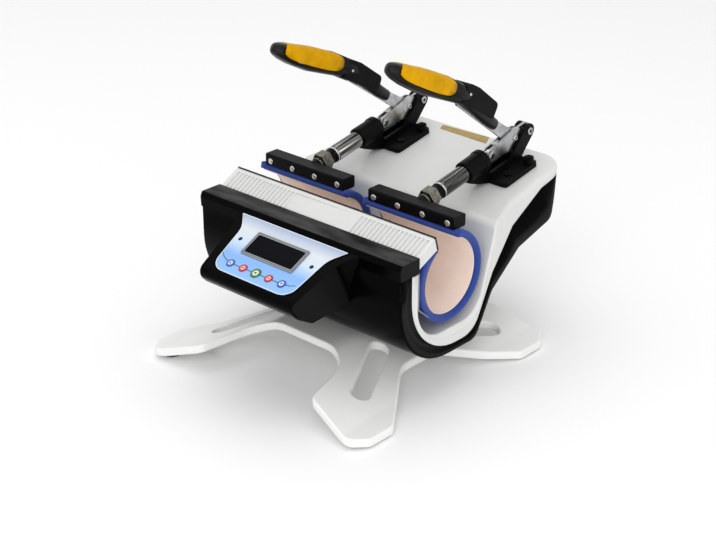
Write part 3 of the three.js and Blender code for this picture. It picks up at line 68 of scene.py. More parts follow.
# Black gloss: tones, and the spans of the normal that take the paler ones, which are painted light: a painted
# reflection on faces that look up, painted light on faces that look sideways.
GLOSS_BLACK = (0.0008, 0.0008, 0.0009)
SIDE_SHEEN_BLACK = (0.011, 0.011, 0.011)
UPWARD_SHEEN_FACES = (0.93, 0.99)
SIDEWAYS_SHEEN_FACES = (0.97, 0.999)
# Painted reflection on the faces that look up: streaky noise and its tones.
PAINTED_SHEEN_SCALE = 28
PAINTED_SHEEN_STRETCH = (1, 3, 3)
PAINTED_SHEEN_TONES = (0.010, 0.045)
PAINTED_SHEEN_BAND = (0.35, 0.65)

# Chrome: painted reflection, streaks of light and dark along the rod.
REFLECTION_STREAK_SCALE = 230
REFLECTION_STREAK_LENGTH = 40
REFLECTION_STREAK_TONES = (
    (0.36, (0.02, 0.02, 0.018)), (0.44, (0.11, 0.11, 0.10)), (0.53, (0.19, 0.19, 0.18)),
    (0.60, (0.80, 0.79, 0.75)),
)

# Button colours, and their order from left to right.
BUTTON_COLORS = {"blue": (0.022, 0.085, 0.40), "red": (0.42, 0.012, 0.018), "green": (0.022, 0.15, 0.045)}
BUTTON_ORDER = ("blue", "red", "green", "red", "blue")

# Console face: its slope, its top edge and its length down the slope.
FACE_SLOPE = math.radians(25.2)
FACE_TOP = Vector((0, -114.68, 175.8)) * MM
FACE_UP = Vector((0, math.cos(FACE_SLOPE), math.sin(FACE_SLOPE)))
FACE_OUT = Vector((0, -math.sin(FACE_SLOPE), math.cos(FACE_SLOPE)))
FACE_LENGTH = 80 * MM

# Label print: tones down the face.
LABEL_WAVE_SCALE = 14
LABEL_WAVE_SHARE = 0.10
LABEL_ROUGHNESS = 0.4
LABEL_TONES = (
    (0.05, (0.32, 0.41, 0.60)), (0.28, (0.66, 0.70, 0.73)), (0.50, (0.56, 0.68, 0.82)),
    (0.72, (0.21, 0.42, 0.84)), (1.0, (0.25, 0.48, 0.88)),
)

# Edges of the rigid nodes that stay: radii in millimetres.
WELD_DISTANCE = 0.00001
MERGE_ANGLE = math.radians(1.5)
BEVEL_ANGLE = math.radians(32)
BEVEL_SEGMENTS = 3
BEVELS = {
    "base_plate": 2.5, "lower_shell": 0.8, "tray": 0.8, "front_lip": 0.6, "front_console": 1.6,
    "lcd_bezel": 0.4, "jaw_bracket": 0.6, "clamp_base": 0.8, "toggle_link": 0.35, "lever": 0.5,
    "grip_block": 1.5, "mount_plate": 0.3, "hex_nut": 0.5,
}

# Sizes that the added pieces share, in millimetres, in the frame of the part.
MUG_AXIS = Vector((0, -28.675, 140.5))
STATION = 80.0
MAT_INNER = 43.9
MAT_THICKNESS = 8.1
LINER_INNER = 42.5
LINER_THICKNESS = 1.1
MAT_HALF = 68.0
LINER_HALF = 64.0
WRAP_START = math.radians(121)
WRAP_REAR_Y = -18.675
JAW_HALF = 61.0
JAW_BOTTOM = 188.2
LIP_FRONT = Vector((0, -84.1, 165.3))
LIP_REAR = Vector((0, -52.7, 179.2))
CLAMP_ORIGIN = Vector((0, 115.325, 189.33))
CLAMP_PITCH = math.radians(10.5)
CLAMP_ALONG = Vector((0, math.cos(CLAMP_PITCH), math.sin(CLAMP_PITCH)))
CLAMP_UP = Vector((0, -math.sin(CLAMP_PITCH), math.cos(CLAMP_PITCH)))
RIGHT = Vector((1, 0, 0))

# Heating wraps.
WRAP_STEPS = 72
EDGE_STEPS = 5
MAT_EDGE = 2.2
LINER_EDGE = 0.4
WRAP_SHOULDER = 2.5
WRAP_SHOULDERS = (-WRAP_SHOULDER, -1.0, 0.5)
WRAP_MIDDLE = 20.0
WRAP_BULGE = 3.2
COLUMN_SLACK = 0.01
JAW_CLEARANCE = 0.1
LIP_CLEARANCE = 0.4

# Buttons and their marks.
LABEL_FRONT = 1.3
BUTTON_RUN = 66.5
BUTTON_PITCH = 19.2
MIDDLE_BUTTON = 2
BUTTON_RADII = (5.0, 5.0, 6.2, 5.0, 5.0)
CAP_FRONT = 2.3
CAP_SKIRT = 2.6
CAP_WALL = 0.9
CAP_ROUND = 0.5
CAP_DISH = 0.35
CAP_DISH_SHARES = (0.66, 0.62)
DISC_SHARES = (0.60, 0.5)
DISC_RISES = (0.6, 0.2, 0.1, 0.05)
CENTRE = 0.01
MARK_HALF = 1.8
RING_MARK_RADIUS = 1.5
MARK_SINK = 0.3
MARK_PROUD = 0.05
ARROW_FOOT_SHARE = 0.7
BAR_HALF_SHARE = 0.3

# Label: (x, run down the face, corner radius), border, lines and lamps.
LABEL_HALF_OUTLINE = ((78.5, 1.0, 0.0), (64.0, 20.0, 26.0), (57.5, 79.5, 17.0))
LABEL_STEPS = 12
BORDER_WIDTH = 0.9
LABEL_SINK = 0.2
BORDER_PROUD = 0.12
LINE_PROUD = 0.08
LINE_GAP = 0.4
LAMP_X = 53.5
LAMP_RUN = 33.5
LAMP_RING = ((1.95, -0.3), (2.5, -0.3), (2.5, 0.15), (1.95, 0.3))
LINE_POINTS = ((-60.0, 56.0), (-55.0, 60.5), (-49.0, 63.5), (-42.0, 65.5), (-30.0, 66.5), (30.0, 66.5),
               (42.0, 66.0), (49.0, 65.0), (55.0, 62.0))
LINE_HALF = 0.65

# Clamp fittings: profiles of (radius, place along the spindle).
SPINDLE_W = 28.3
DOME_STEPS = 6
DOME_SINK = 0.2
DOME_WALL_SHARE = 0.35
JAW_BOLT_SHIFTS = (-52.5, -17.5, 17.5, 52.5)
JAW_BOLT_HEIGHT = 195.0
JAW_BOLT_RADIUS = 3.6
JAW_BOLT_HEAD = 1.6
JAM_COLLAR = (
    (5.2, -90.2), (8.4, -90.2), (9.0, -89.4), (9.0, -85.6), (8.0, -85.0), (8.0, -84.2), (9.2, -83.6),
    (9.2, -81.6), (5.2, -81.2),
)
COLLAR_RING = ((5.2, -81.1), (9.4, -81.1), (9.8, -80.6), (9.8, -79.0), (9.2, -78.4), (5.2, -78.4))
SPINDLE_ROD = ((4.0, -116.8), (4.8, -116.0), (4.8, -65.5), (4.0, -65.3))
BOSS_RING = ((7.55, -107.8), (8.4, -107.6), (8.6, -107.0), (8.6, -105.0), (8.2, -104.4), (7.55, -104.4))
BASE_SCREWS = (
    (-20.0, 14.0, 6.0, 4.2), (20.0, 14.0, 6.0, 4.2), (-24.5, 48.0, 12.5, 4.0), (24.5, 48.0, 12.5, 4.0),
)
SCREW_SEAT = 0.05
SCREW_SHANK = ((2.4, -5.0), (2.4, SCREW_SEAT))
SCREW_SOCKET = ((1.9, 1.7), (1.7, 0.7), (CENTRE, 0.7))
SCREW_WALL = 1.1
SCREW_HEAD = 1.6
SCREW_ROUND = 0.5

# Housing in plan and in profile. Reach and rise count from the mug axis.
GAP = 0.3
BODY_HALF = 150.0
TOWER_HALF = 134.0
TAPER_FRONT = 58.0
TAPER_REAR = 153.0
HOUSING_REAR = 225.0
REAR_CORNER = 30.0
ARC_STEPS = 14
RIM_EDGE = 2.0
TROUGH_INSET = 3.0
DECK_INSET = 15.0
TROUGH_HEEL = 43.0
DECK_FRONT = (77.5, 36.2)
DECK_REAR = 224.0
RIDGE_RISE = 1.1
RIDGE_PLACE = 0.42
RIDGE_HALF = 0.13
SHELL_EDGE = 2.5
SHELL_REAR = 215.5
TRAY_SHARES = (
    0, 0.004, 0.02, 0.05, 0.09, 0.13, 0.16, 0.19, 0.22, 0.26, 0.31, 0.4, 0.5, 0.62, 0.74, 0.85, 0.94, 1,
)
RIM_CORNERS = (
    (-67.0, 23.2, 0), (-67.0, -80.5, 75.0), (38.0, -80.5, 30.0), (70.0, -18.5, 12.0), (116.0, 17.5, 20.0),
    (176.0, 44.5, 15.0), (DECK_REAR, 55.5, 0),
)
TRAY_CORNERS = (
    (-56.0, 23.2, 0), (-56.0, -60.5, 40.0), (TROUGH_HEEL, -60.5, 34.0), (*DECK_FRONT, 14.0),
    (DECK_REAR, DECK_FRONT[1] + (DECK_REAR - DECK_FRONT[0]) * math.tan(CLAMP_PITCH), 0),
)
SHELL_CORNERS = (
    (-85.0, 23.2, 0), (-85.0, -91.5, 80.0), (44.0, -91.5, 18.0), (72.0, -42.5, 14.0), (138.0, -17.5, 30.0),
    (200.0, -1.5, 16.0), (216.0, 55.0, 0),
)
SHELL_EDGE_STEPS = 4
SHELL_TURNS = [math.pi / 2 * (1 - step / SHELL_EDGE_STEPS) for step in range(SHELL_EDGE_STEPS + 1)]
WALL_FOOT_REACH, WALL_FOOT_RISE = SHELL_CORNERS[-2][:2]
WALL_HEAD_REACH = SHELL_CORNERS[-1][0]
WALL_HEAD_RISE = 55.5
WALL_FOOT = Vector((0, MUG_AXIS.y + WALL_FOOT_REACH, MUG_AXIS.z + WALL_FOOT_RISE))
WALL_HEAD = Vector((0, MUG_AXIS.y + WALL_HEAD_REACH, MUG_AXIS.z + WALL_HEAD_RISE))
POCKETS = ((-62.0, 13.3, 9.8), (-22.0, 7.3, 10.8))
FITTING_RISE = 26.0
POCKET_DEPTH = 30.0
POCKET_LIP = 5.0

# Front lip and its trim.
LIP_HALF = 148.0
LIP_POINTS = {
    "front": (-55.4, 24.8), "front_top": (-55.4, 40.0), "rear": (-24.0, 38.7), "rear_top": (-28.5, 55.0),
}
LIP_RIB_PITCH = 5.75
LIP_RIB_SHARE = 0.5
LIP_RIB_DEPTH = 2.4
LIP_RIB_COUNT = 17
LIP_RIB_MARGIN = 4.0
LIP_RIB_START = 0.02
LIP_RIB_END = 0.80
LIP_END_EDGE = 3.0
LIP_END_SHRINK = 0.12
LIP_END_TURNS = (1, 0.75, 0.5, 0.25, 0)
LIP_SLACK = 0.001
LIP_EDGE_SHARES = (0.12, 0.04)
LIP_EDGE_LEAN = -0.6
LIP_TOP_SHARE = 0.93
LIP_LEDGE_SHARE = 0.02
RIB_ROUND = 0.5
RIB_WALLS = (0.2, 0.3)
RIB_WALL_SHARE = 0.8
TRIM_OUTLINE = ((0.6, 0.5), (1.6, -1.2), (0.4, -1.6), (-0.9, 0.1))
TRIM_ENDS = (1.0, 0.5)
END_TRIM_TOP = ((0.6, 0.4), (-1.6, -0.6))
END_TRIM_FOOT = ((1.0, 0.6), (-1.4, -0.2))
END_TRIM_SPAN = (-2.0, 0.3)

# Screen and its frame.
BEZEL_HALF = 38.5
BEZEL_TOP_RUN = 17.1
BEZEL_BOTTOM_RUN = 50.4
BEZEL_FRAME = 3.3
BEZEL_EDGE = 0.6
BEZEL_FRONT = 2.6
SCREEN_FRONT = 2.0
SCREEN_BACK = 0.4
SCREEN_LAP = 0.3
WINDOW_STEPS = 6
FRAME_RADII = (1.6, 0.8)
EDGE_RADII = (1.4, 1.2)
EDGE_SINK = 0.5
EDGE_PROUD = 0.15

# Gold strip on the deck.
STRIP_CORNERS = ((-47.5, 191.6), (-45.1, 183.1), (27.0, 181.0), (21.5, 194.5))
STRIP_RISE = 0.35
STRIP_SINK = 0.5

# Rivets, pins and studs: (radius, height) profiles.
PIVOT_W = 30.0
LINK_PIVOT_U = 7.5
RIVET_U = 52.5
LEVER_PIVOT_U = 74.0
RIVET_REACH = 4.5
RIVET_CENTRE_REACH = 5.15
LINK_PIN_REACH = 5.4
LEVER_PIN_REACH = 10.0
STUD_REACH = 11.0
STUD_PLACES = {"left": Vector((0, 53.3, 301.1)), "right": Vector((0, 67.7, 306.8))}
RIVET_HEAD = [(3.4, -0.6), (3.4, 0.5), (2.9, 1.0), (1.4, 1.2), (1.2, 0.6), (CENTRE, 0.6)]
PIN_CENTRE = [(2.0, -0.2), (2.0, 0.12), (CENTRE, 0.12)]
SMALL_CENTRE = [(1.3, -0.2), (1.3, 0.12), (CENTRE, 0.12)]
STUD_HEAD = [(1.9, -0.6), (1.9, 0.3), (1.3, 0.8), (CENTRE, 0.95)]

# Stage.
FLOOR_HALF = 8.0
FLOOR_TONE = (0.94, 0.94, 0.94, 1)
FLOOR_ROUGHNESS = 0.5
FLOOR_SPECULAR = 0.2
WORLD_SEEN = 1.0
WORLD_LIT = 0.78

# Lamps: name, place, point aimed at, size, and power in watts.
AIM = (0, 0, 0.12)
LAMPS = (
    ("key", (1.2, -1.9, 1.7), AIM, (1.6, 1.2), 13),
    ("top", (-0.3, 0.3, 2.4), AIM, (2.2, 1.6), 13),
    ("side", (-2.2, -0.6, 1.1), AIM, (1.2, 1.4), 3),
    ("low", (2.2, -0.9, 0.55), AIM, (1.2, 0.7), 8),
    ("under", (0.8, -2.0, 0.42), (0, -0.1, 0.02), (1.4, 0.5), 5),
)

# Camera.
camera_back = Vector((
    math.sin(CAMERA_AZIMUTH) * math.cos(CAMERA_ELEVATION),
    -math.cos(CAMERA_AZIMUTH) * math.cos(CAMERA_ELEVATION),
    math.sin(CAMERA_ELEVATION),
))
camera_data = bpy.data.cameras.new("camera")
camera_data.sensor_width = CAMERA_SENSOR
camera_data.lens = CAMERA_FOCAL_SHARE * CAMERA_SENSOR
camera_data.clip_start, camera_data.clip_end = CAMERA_CLIP
camera = bpy.data.objects.new("camera", camera_data)
scene.collection.objects.link(camera)
camera.location = CAMERA_TARGET + camera_back * CAMERA_DISTANCE
camera.rotation_mode = "QUATERNION"
camera.rotation_quaternion = (-camera_back).to_track_quat("-Z", "Y")
scene.camera = camera
scene.view_settings.view_transform = "Standard"


# Node trees.
class Tree:
    def __init__(self, name):
        self.material = bpy.data.materials.new(name)
        self.material.use_nodes = True
        self.nodes = self.material.node_tree.nodes
        self.links = self.material.node_tree.links
        self.shader = self.nodes["Principled BSDF"]
        self.place = self.add("ShaderNodeTexCoord").outputs["Object"]

    def add(self, kind, **values):
        node = self.nodes.new(kind)
        for key, value in values.items():
            setattr(node, key, value)
        return node

    def link(self, source, target):
        self.links.new(source, target)

    def feed(self, socket, value):
        if isinstance(value, bpy.types.NodeSocket):
            self.link(value, socket)
        else:
            socket.default_value = value

    def noise(self, scale, detail=3.0, roughness=0.5, stretch=None, place=None):
        node = self.add("ShaderNodeTexNoise")
        node.inputs["Scale"].default_value = scale
        node.inputs["Detail"].default_value = detail
        node.inputs["Roughness"].default_value = roughness
        source = place or self.place
        if stretch:
            mapping = self.add("ShaderNodeMapping")
            mapping.inputs["Scale"].default_value = stretch
            self.link(source, mapping.inputs["Vector"])
            source = mapping.outputs["Vector"]
        self.link(source, node.inputs["Vector"])
        return node.outputs["Fac"]

    def ramp(self, value, stops):
        node = self.add("ShaderNodeValToRGB")
        node.color_ramp.interpolation = "LINEAR"
        elements = node.color_ramp.elements
        while len(elements) < len(stops):
            elements.new(0.5)
        for element, (position, color) in zip(elements, stops):
            element.position = position
            element.color = (*color, 1.0)
        self.link(value, node.inputs["Fac"])
        return node.outputs["Color"]

    def span(self, value, low, high, start=0.0, stop=1.0):
        node = self.add("ShaderNodeMapRange")
        node.inputs["From Min"].default_value = start
        node.inputs["From Max"].default_value = stop
        node.inputs["To Min"].default_value = low
        node.inputs["To Max"].default_value = high
        self.link(value, node.inputs["Value"])
        return node.outputs["Result"]

    def math(self, operation, a, b=0.0):
        node = self.add("ShaderNodeMath", operation=operation)
        self.feed(node.inputs[0], a)
        self.feed(node.inputs[1], b)
        return node.outputs["Value"]

    def mix(self, factor, a, b):
        node = self.add("ShaderNodeMix", data_type="RGBA", blend_type="MIX")
        self.feed(node.inputs["Factor"], factor)
        for socket, value in ((node.inputs["A"], a), (node.inputs["B"], b)):
            if isinstance(value, tuple) and len(value) == 3:
                value = (*value, 1.0)
            self.feed(socket, value)
        return node.outputs["Result"]

    def bump(self, height, strength, distance):
        node = self.add("ShaderNodeBump")
        node.inputs["Strength"].default_value = strength
        node.inputs["Distance"].default_value = distance
        self.link(height, node.inputs["Height"])
        self.link(node.outputs["Normal"], self.shader.inputs["Normal"])

    def dot(self, direction, offset=0.0):
        node = self.add("ShaderNodeVectorMath", operation="DOT_PRODUCT")
        node.inputs[1].default_value = direction
        self.link(self.place, node.inputs[0])
        return self.math("ADD", node.outputs["Value"], offset)


def surface(name, color, roughness, metallic=0.0, specular=0.5, coat=0.0, tint=0.06, grain=None,
            rough_spread=0.12, coat_roughness=0.08, sheen=0.0, patch=30.0):
    tree = Tree(name)
    shader = tree.shader
    shader.inputs["Metallic"].default_value = metallic
    shader.inputs["Specular IOR Level"].default_value = specular
    shader.inputs["Coat Weight"].default_value = coat
    shader.inputs["Coat Roughness"].default_value = coat_roughness
    shader.inputs["Sheen Weight"].default_value = sheen
    blotch = tree.noise(patch, *BLOTCH_NOISE)
    darker = tuple(channel * (1 - tint) for channel in color)
    lighter = tuple(min(1.0, channel * (1 + tint)) for channel in color)
    stained = tree.ramp(blotch, [(NOISE_LOW, darker), (NOISE_HIGH, lighter)])
    tree.link(stained, shader.inputs["Base Color"])
    spread = roughness * rough_spread
    smudge = tree.noise(patch * SMUDGE_SHARE, *SMUDGE_NOISE)
    smudged = tree.span(smudge, roughness - spread, roughness + spread, NOISE_LOW, NOISE_HIGH)
    tree.link(smudged, shader.inputs["Roughness"])
    if grain:
        scale, strength, distance = grain[:3]
        stretch = grain[3] if len(grain) > 3 else None
        tree.bump(tree.noise(scale, *BLOTCH_NOISE, stretch), strength, distance)
    return tree


white_moulding = surface("white_moulding", (0.66, 0.66, 0.645), 0.34, tint=0.012, coat=0.2,
                         coat_roughness=0.15, grain=(900, 0.12, 0.0004)).material
stand_paint = surface("stand_paint", (0.83, 0.83, 0.81), 0.36, tint=0.015, coat=0.3,
                      coat_roughness=0.12, grain=(600, 0.18, 0.0005)).material
# Black gloss: faces that look up carry a painted reflection in streaky patches, faces that look sideways are
# paler with painted light.
black_tree = surface("black_gloss", GLOSS_BLACK, 0.2, specular=0.03, tint=0.1, grain=(120, 0.02, 0.0005))
facing = black_tree.add("ShaderNodeSeparateXYZ")
black_tree.link(black_tree.add("ShaderNodeNewGeometry").outputs["Normal"], facing.inputs["Vector"])
upward_sheen_mask = black_tree.span(facing.outputs["Z"], 0.0, 1.0, *UPWARD_SHEEN_FACES)
painted_sheen = black_tree.span(black_tree.noise(PAINTED_SHEEN_SCALE, 2.0, 0.5, PAINTED_SHEEN_STRETCH), *PAINTED_SHEEN_TONES, *PAINTED_SHEEN_BAND)
sideways_sheen_mask = black_tree.span(black_tree.math("ABSOLUTE", facing.outputs["X"]), 0.0, 1.0, *SIDEWAYS_SHEEN_FACES)
side_sheen = black_tree.mix(sideways_sheen_mask, GLOSS_BLACK, SIDE_SHEEN_BLACK)
black_tree.link(black_tree.mix(upward_sheen_mask, side_sheen, painted_sheen), black_tree.shader.inputs["Base Color"])
black_gloss = black_tree.material
black_casting = surface("black_casting", (0.0022, 0.0022, 0.0024), 0.38, specular=0.06, tint=0.2,
                        grain=(700, 0.35, 0.0006)).material
black_rubber = surface("black_rubber", (0.0035, 0.0035, 0.004), 0.55, specular=0.08, tint=0.2,
                       grain=(1400, 0.4, 0.0004)).material
black_plastic = surface("black_plastic", (0.008, 0.008, 0.0085), 0.45, specular=0.15, tint=0.1,
                        grain=(1600, 0.3, 0.0003)).material
grip_black = surface("grip_black", (0.004, 0.004, 0.0045), 0.34, specular=0.18, tint=0.15,
                     grain=(1100, 0.3, 0.0003)).material
# Chrome: streaks of painted reflection, light and dark, that run along the rod.
chrome_tree = surface("chrome", (0.50, 0.50, 0.49), 0.14, metallic=1.0, tint=0.05)
lengthwise = chrome_tree.add("ShaderNodeMapping", vector_type="TEXTURE")
lengthwise.inputs["Rotation"].default_value = (CLAMP_PITCH, 0, 0)
lengthwise.inputs["Scale"].default_value = (1, REFLECTION_STREAK_LENGTH, 1)
chrome_tree.link(chrome_tree.place, lengthwise.inputs["Vector"])
painted_reflection = chrome_tree.noise(REFLECTION_STREAK_SCALE, 3.0, 0.6, None, lengthwise.outputs["Vector"])
chrome_tree.link(chrome_tree.ramp(painted_reflection, REFLECTION_STREAK_TONES), chrome_tree.shader.inputs["Base Color"])
chrome = chrome_tree.material
nickel = surface("nickel", (0.17, 0.16, 0.13), 0.24, metallic=1.0, tint=0.45, patch=260,
                 grain=(700, 0.2, 0.0004)).material
zinc = surface("zinc", (0.42, 0.425, 0.43), 0.24, metallic=1.0, tint=0.3, patch=140,
               grain=(900, 0.08, 0.0003)).material
sheet_steel = surface("sheet_steel", (0.30, 0.30, 0.31), 0.35, metallic=1.0, tint=0.08,
                      grain=(400, 0.2, 0.0004, (0.1, 1, 1))).material
yellow = surface("grip_yellow", (0.62, 0.315, 0.001), 0.46, specular=0.04, tint=0.14, patch=60,
                 grain=(1300, 0.3, 0.0004)).material
bezel = surface("bezel_grey", (0.16, 0.17, 0.18), 0.35, metallic=0.4, tint=0.08,
                grain=(900, 0.1, 0.0002)).material
screen = surface("screen", (0.003, 0.0033, 0.005), 0.2, specular=0.03, tint=0.1).material
board = surface("board", (0.01, 0.09, 0.03), 0.45, tint=0.3, patch=300, grain=(800, 0.5, 0.0006)).material
led_dark = surface("led_dark", (0.006, 0.012, 0.04), 0.2, specular=0.3, tint=0.1).material
button_paint = {
    key: surface(f"button_{key}", color, 0.35, tint=0.08, patch=400, grain=(1500, 0.1, 0.0002)).material
    for key, color in BUTTON_COLORS.items()
}
silicone = surface("blue_silicone", (0.022, 0.052, 0.26), 0.5, specular=0.12, tint=0.08, patch=80, sheen=0.1,
                   grain=(900, 0.35, 0.0004)).material
liner = surface("liner", (0.86, 0.72, 0.64), 0.45, specular=0.3, tint=0.05,
                grain=(800, 0.4, 0.0004)).material

# Label: from pale lavender at its top edge, through near white, to light blue.
label_tree = Tree("label_print")
run = label_tree.math("DIVIDE", label_tree.dot(tuple(-FACE_UP), FACE_UP.dot(FACE_TOP)), FACE_LENGTH)
wave = label_tree.math("MULTIPLY", label_tree.noise(LABEL_WAVE_SCALE, 2.0), LABEL_WAVE_SHARE)
printed = label_tree.ramp(label_tree.math("ADD", run, wave), LABEL_TONES)
label_tree.link(printed, label_tree.shader.inputs["Base Color"])
label_tree.shader.inputs["Roughness"].default_value = LABEL_ROUGHNESS
label_print = label_tree.material

MATERIALS = {
    "base_plate": stand_paint, "lower_shell": black_gloss, "tray": white_moulding,
    "front_lip": white_moulding, "front_console": black_gloss, "label_plate": label_print,
    "lcd_bezel": bezel, "lcd_screen": screen,
    "control_board": board, "power_board": board, "led_left": led_dark, "led_right": led_dark,
    "power_inlet": black_plastic, "switch_frame": black_plastic, "rocker": black_gloss,
    "mount_plate": sheet_steel, "heating_mat": silicone, "mat_liner": liner, "jaw_bracket": black_casting,
    "spindle": zinc, "hex_nut": nickel, "plunger": chrome, "clamp_base": black_casting, "toggle_link": zinc,
    "link_pin": zinc, "lever": zinc, "lever_pin": zinc, "grip": grip_black, "grip_inset": yellow,
    "grip_block": black_rubber,
}


def plain_name(name):
    return name if name in MATERIALS else name.partition("_")[2]


def material_for(name):
    if name.startswith("foot_"):
        return black_rubber
    if name.startswith("button_"):
        return button_paint[BUTTON_ORDER[int(name[-1]) - 1]]
    return MATERIALS[plain_name(name)]


def dress(name, obj):
    obj.data.materials.clear()
    obj.data.materials.append(material_for(name))
    for polygon in obj.data.polygons:
        polygon.use_smooth = True
        polygon.material_index = 0
    weld = obj.modifiers.new("weld", "WELD")
    weld.merge_threshold = WELD_DISTANCE
    key = plain_name(name)
    if key in BEVELS:
        merge = obj.modifiers.new("merge", "DECIMATE")
        merge.decimate_type = "DISSOLVE"
        merge.angle_limit = MERGE_ANGLE
        bevel = obj.modifiers.new("bevel", "BEVEL")
        bevel.width = BEVELS[key] * MM
        bevel.segments = BEVEL_SEGMENTS
        bevel.limit_method = "ANGLE"
        bevel.angle_limit = BEVEL_ANGLE
        bevel.harden_normals = False
        bevel.use_clamp_overlap = key != "base_plate"
    weighted = obj.modifiers.new("weighted", "WEIGHTED_NORMAL")
    weighted.keep_sharp = True


for name, obj in nodes.items():
    dress(name, obj)


def add_mesh(name, points, faces, smooth=True):
    mesh = bpy.data.meshes.new(name)
    mesh.from_pydata([tuple(point) for point in points], [], faces)
    work = bmesh.new()
    work.from_mesh(mesh)
    bmesh.ops.recalc_face_normals(work, faces=work.faces)
    work.to_mesh(mesh)
    work.free()
    for polygon in mesh.polygons:
        polygon.use_smooth = smooth
    return mesh


def loft(name, sections, smooth=True, strips=False):
    count = len(sections[0])
    points = [point for section in sections for point in section]
    faces = []
    for k in range(len(sections) - 1):
        for j in range(count):
            beside = (j + 1) % count
            here, ahead = k * count, (k + 1) * count
            faces.append((here + j, here + beside, ahead + beside, ahead + j))
    last = (len(sections) - 1) * count
    for first in (0, last):
        if strips:
            end = first + count
            faces.extend((first + j, first + j + 1, end - 2 - j, end - 1 - j) for j in range(count // 2 - 1))
        else:
            faces.append(tuple(first + j for j in range(count)))
    return add_mesh(name, points, faces, smooth)


def place(name, mesh, body, material, slot, *replaced):
    obj = bpy.data.objects.new(name, mesh)
    scene.collection.objects.link(obj)
    mesh.materials.append(material)
    if body:
        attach(obj, body)
    if replaced:
        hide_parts(*replaced)
    return obj


# Round piece: a profile of (radius, height) along the axis from the origin, all in millimetres.
def turned(name, profile, origin, axis, sides=40):
    axis = Vector(axis).normalized()
    across = axis.orthogonal().normalized()
    beyond = axis.cross(across)
    sections = []
    for radius, height in profile:
        ring = []
        for step in range(sides):
            turn = 2 * math.pi * step / sides
            point = origin + axis * height + (across * math.cos(turn) + beyond * math.sin(turn)) * radius
            ring.append(point * MM)
        sections.append(ring)
    return loft(name, sections)


def clamp_point(x, u, w):
    return CLAMP_ORIGIN + RIGHT * x + CLAMP_ALONG * u + CLAMP_UP * w


# Heating wraps: a thick silicone C with a thin liner, held by the housing in front and the jaw behind.
def wrap_section(turn, inner, thickness, half, x0, edge):
    outward = Vector((0, math.cos(turn), math.sin(turn)))
    across = [-half + edge, *(-JAW_HALF + shoulder for shoulder in WRAP_SHOULDERS), -WRAP_MIDDLE]
    across = [x for x in across if x > -half + edge - COLUMN_SLACK]
    across = across + [-x for x in reversed(across)]
    profile = []
    for x in across:
        profile.append((x, thickness))
    for step in range(1, EDGE_STEPS):
        bend = math.pi / 2 * step / EDGE_STEPS
        profile.append((half - edge + edge * math.sin(bend), thickness - edge + edge * math.cos(bend)))
    profile.append((half, thickness - edge))
    profile.append((half, 0.0))
    profile.extend((x, 0.0) for x in reversed(across))
    profile.append((-half, 0.0))
    profile.append((-half, thickness - edge))
    for step in range(EDGE_STEPS - 1, 0, -1):
        bend = math.pi / 2 * step / EDGE_STEPS
        profile.append((-half + edge - edge * math.sin(bend), thickness - edge + edge * math.cos(bend)))
    ring = []
    for x, height in profile:
        point = MUG_AXIS + outward * (inner + height) + RIGHT * (x0 + x)
        if point.z > MUG_AXIS.z:
            if point.y > MUG_AXIS.y:
                bulge = WRAP_BULGE * min(1.0, max(0.0, (abs(x) - JAW_HALF) / WRAP_SHOULDER))
                point.z = min(point.z, JAW_BOTTOM - JAW_CLEARANCE + bulge)
            else:
                share = (point.y - LIP_FRONT.y) / (LIP_REAR.y - LIP_FRONT.y)
                point.z = min(point.z, LIP_FRONT.z + share * (LIP_REAR.z - LIP_FRONT.z) - LIP_CLEARANCE)
        ring.append(point * MM)
    return ring


def wrap_mesh(name, x0, inner, thickness, half, edge):
    stop = 2 * math.pi + math.acos((WRAP_REAR_Y - MUG_AXIS.y) / (inner + thickness))
    turns = [WRAP_START + (stop - WRAP_START) * step / WRAP_STEPS for step in range(WRAP_STEPS + 1)]
    return loft(name, [wrap_section(turn, inner, thickness, half, x0, edge) for turn in turns])


for label, side in SIDES.items():
    x0 = side * STATION
    pad_mesh = wrap_mesh(f"{label}_wrap_pad", x0, MAT_INNER, MAT_THICKNESS, MAT_HALF, MAT_EDGE)
    mat = place(f"{label}_wrap_pad", pad_mesh, None, silicone, "blue_silicone", f"{label}_heating_mat")
    liner_mesh = wrap_mesh(f"{label}_wrap_liner", x0, LINER_INNER, LINER_THICKNESS, LINER_HALF, LINER_EDGE)
    inner = place(f"{label}_wrap_liner", liner_mesh, None, liner, "liner", f"{label}_mat_liner")
    for soft in (mat, inner):
        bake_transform(soft)


# Console face: x to the right, run down the face, rise out of it.
def face_point(x, run_down, rise):
    return FACE_TOP + RIGHT * (x * MM) - FACE_UP * (run_down * MM) + FACE_OUT * (rise * MM)


pale_mark = surface("pale_mark", (0.72, 0.76, 0.80), 0.45, tint=0.03, patch=300).material
cream_mark = surface("cream_mark", (0.74, 0.78, 0.48), 0.45, tint=0.03, patch=300).material
rose_mark = surface("rose_mark", (0.80, 0.46, 0.42), 0.45, tint=0.03, patch=300).material
print_dark = surface("print_dark", (0.06, 0.12, 0.20), 0.5, tint=0.05, patch=300).material
MARKS = (("up", pale_mark), ("bar", rose_mark), ("ring", cream_mark), ("bar", rose_mark), ("down", pale_mark))


def face_prism(name, outline, low, high):
    sections = [[face_point(x, run_down, rise) for x, run_down in outline] for rise in (low, high)]
    return loft(name, sections, smooth=False)


def circle(x, run_down, radius, sides=32):
    turns = [2 * math.pi * k / sides for k in range(sides)]
    return [(x + radius * math.cos(turn), run_down + radius * math.sin(turn)) for turn in turns]


def mark_outline(kind, x, run_down, size):
    if kind == "ring":
        return circle(x, run_down, RING_MARK_RADIUS)
    if kind == "up":
        foot = run_down + ARROW_FOOT_SHARE * size
        return [(x - size, foot), (x + size, foot), (x, run_down - size)]
    if kind == "down":
        foot = run_down - ARROW_FOOT_SHARE * size
        return [(x - size, foot), (x, run_down + size), (x + size, foot)]
    half = BAR_HALF_SHARE * size
    return [(x - size, run_down - half), (x - size, run_down + half),
            (x + size, run_down + half), (x + size, run_down - half)]


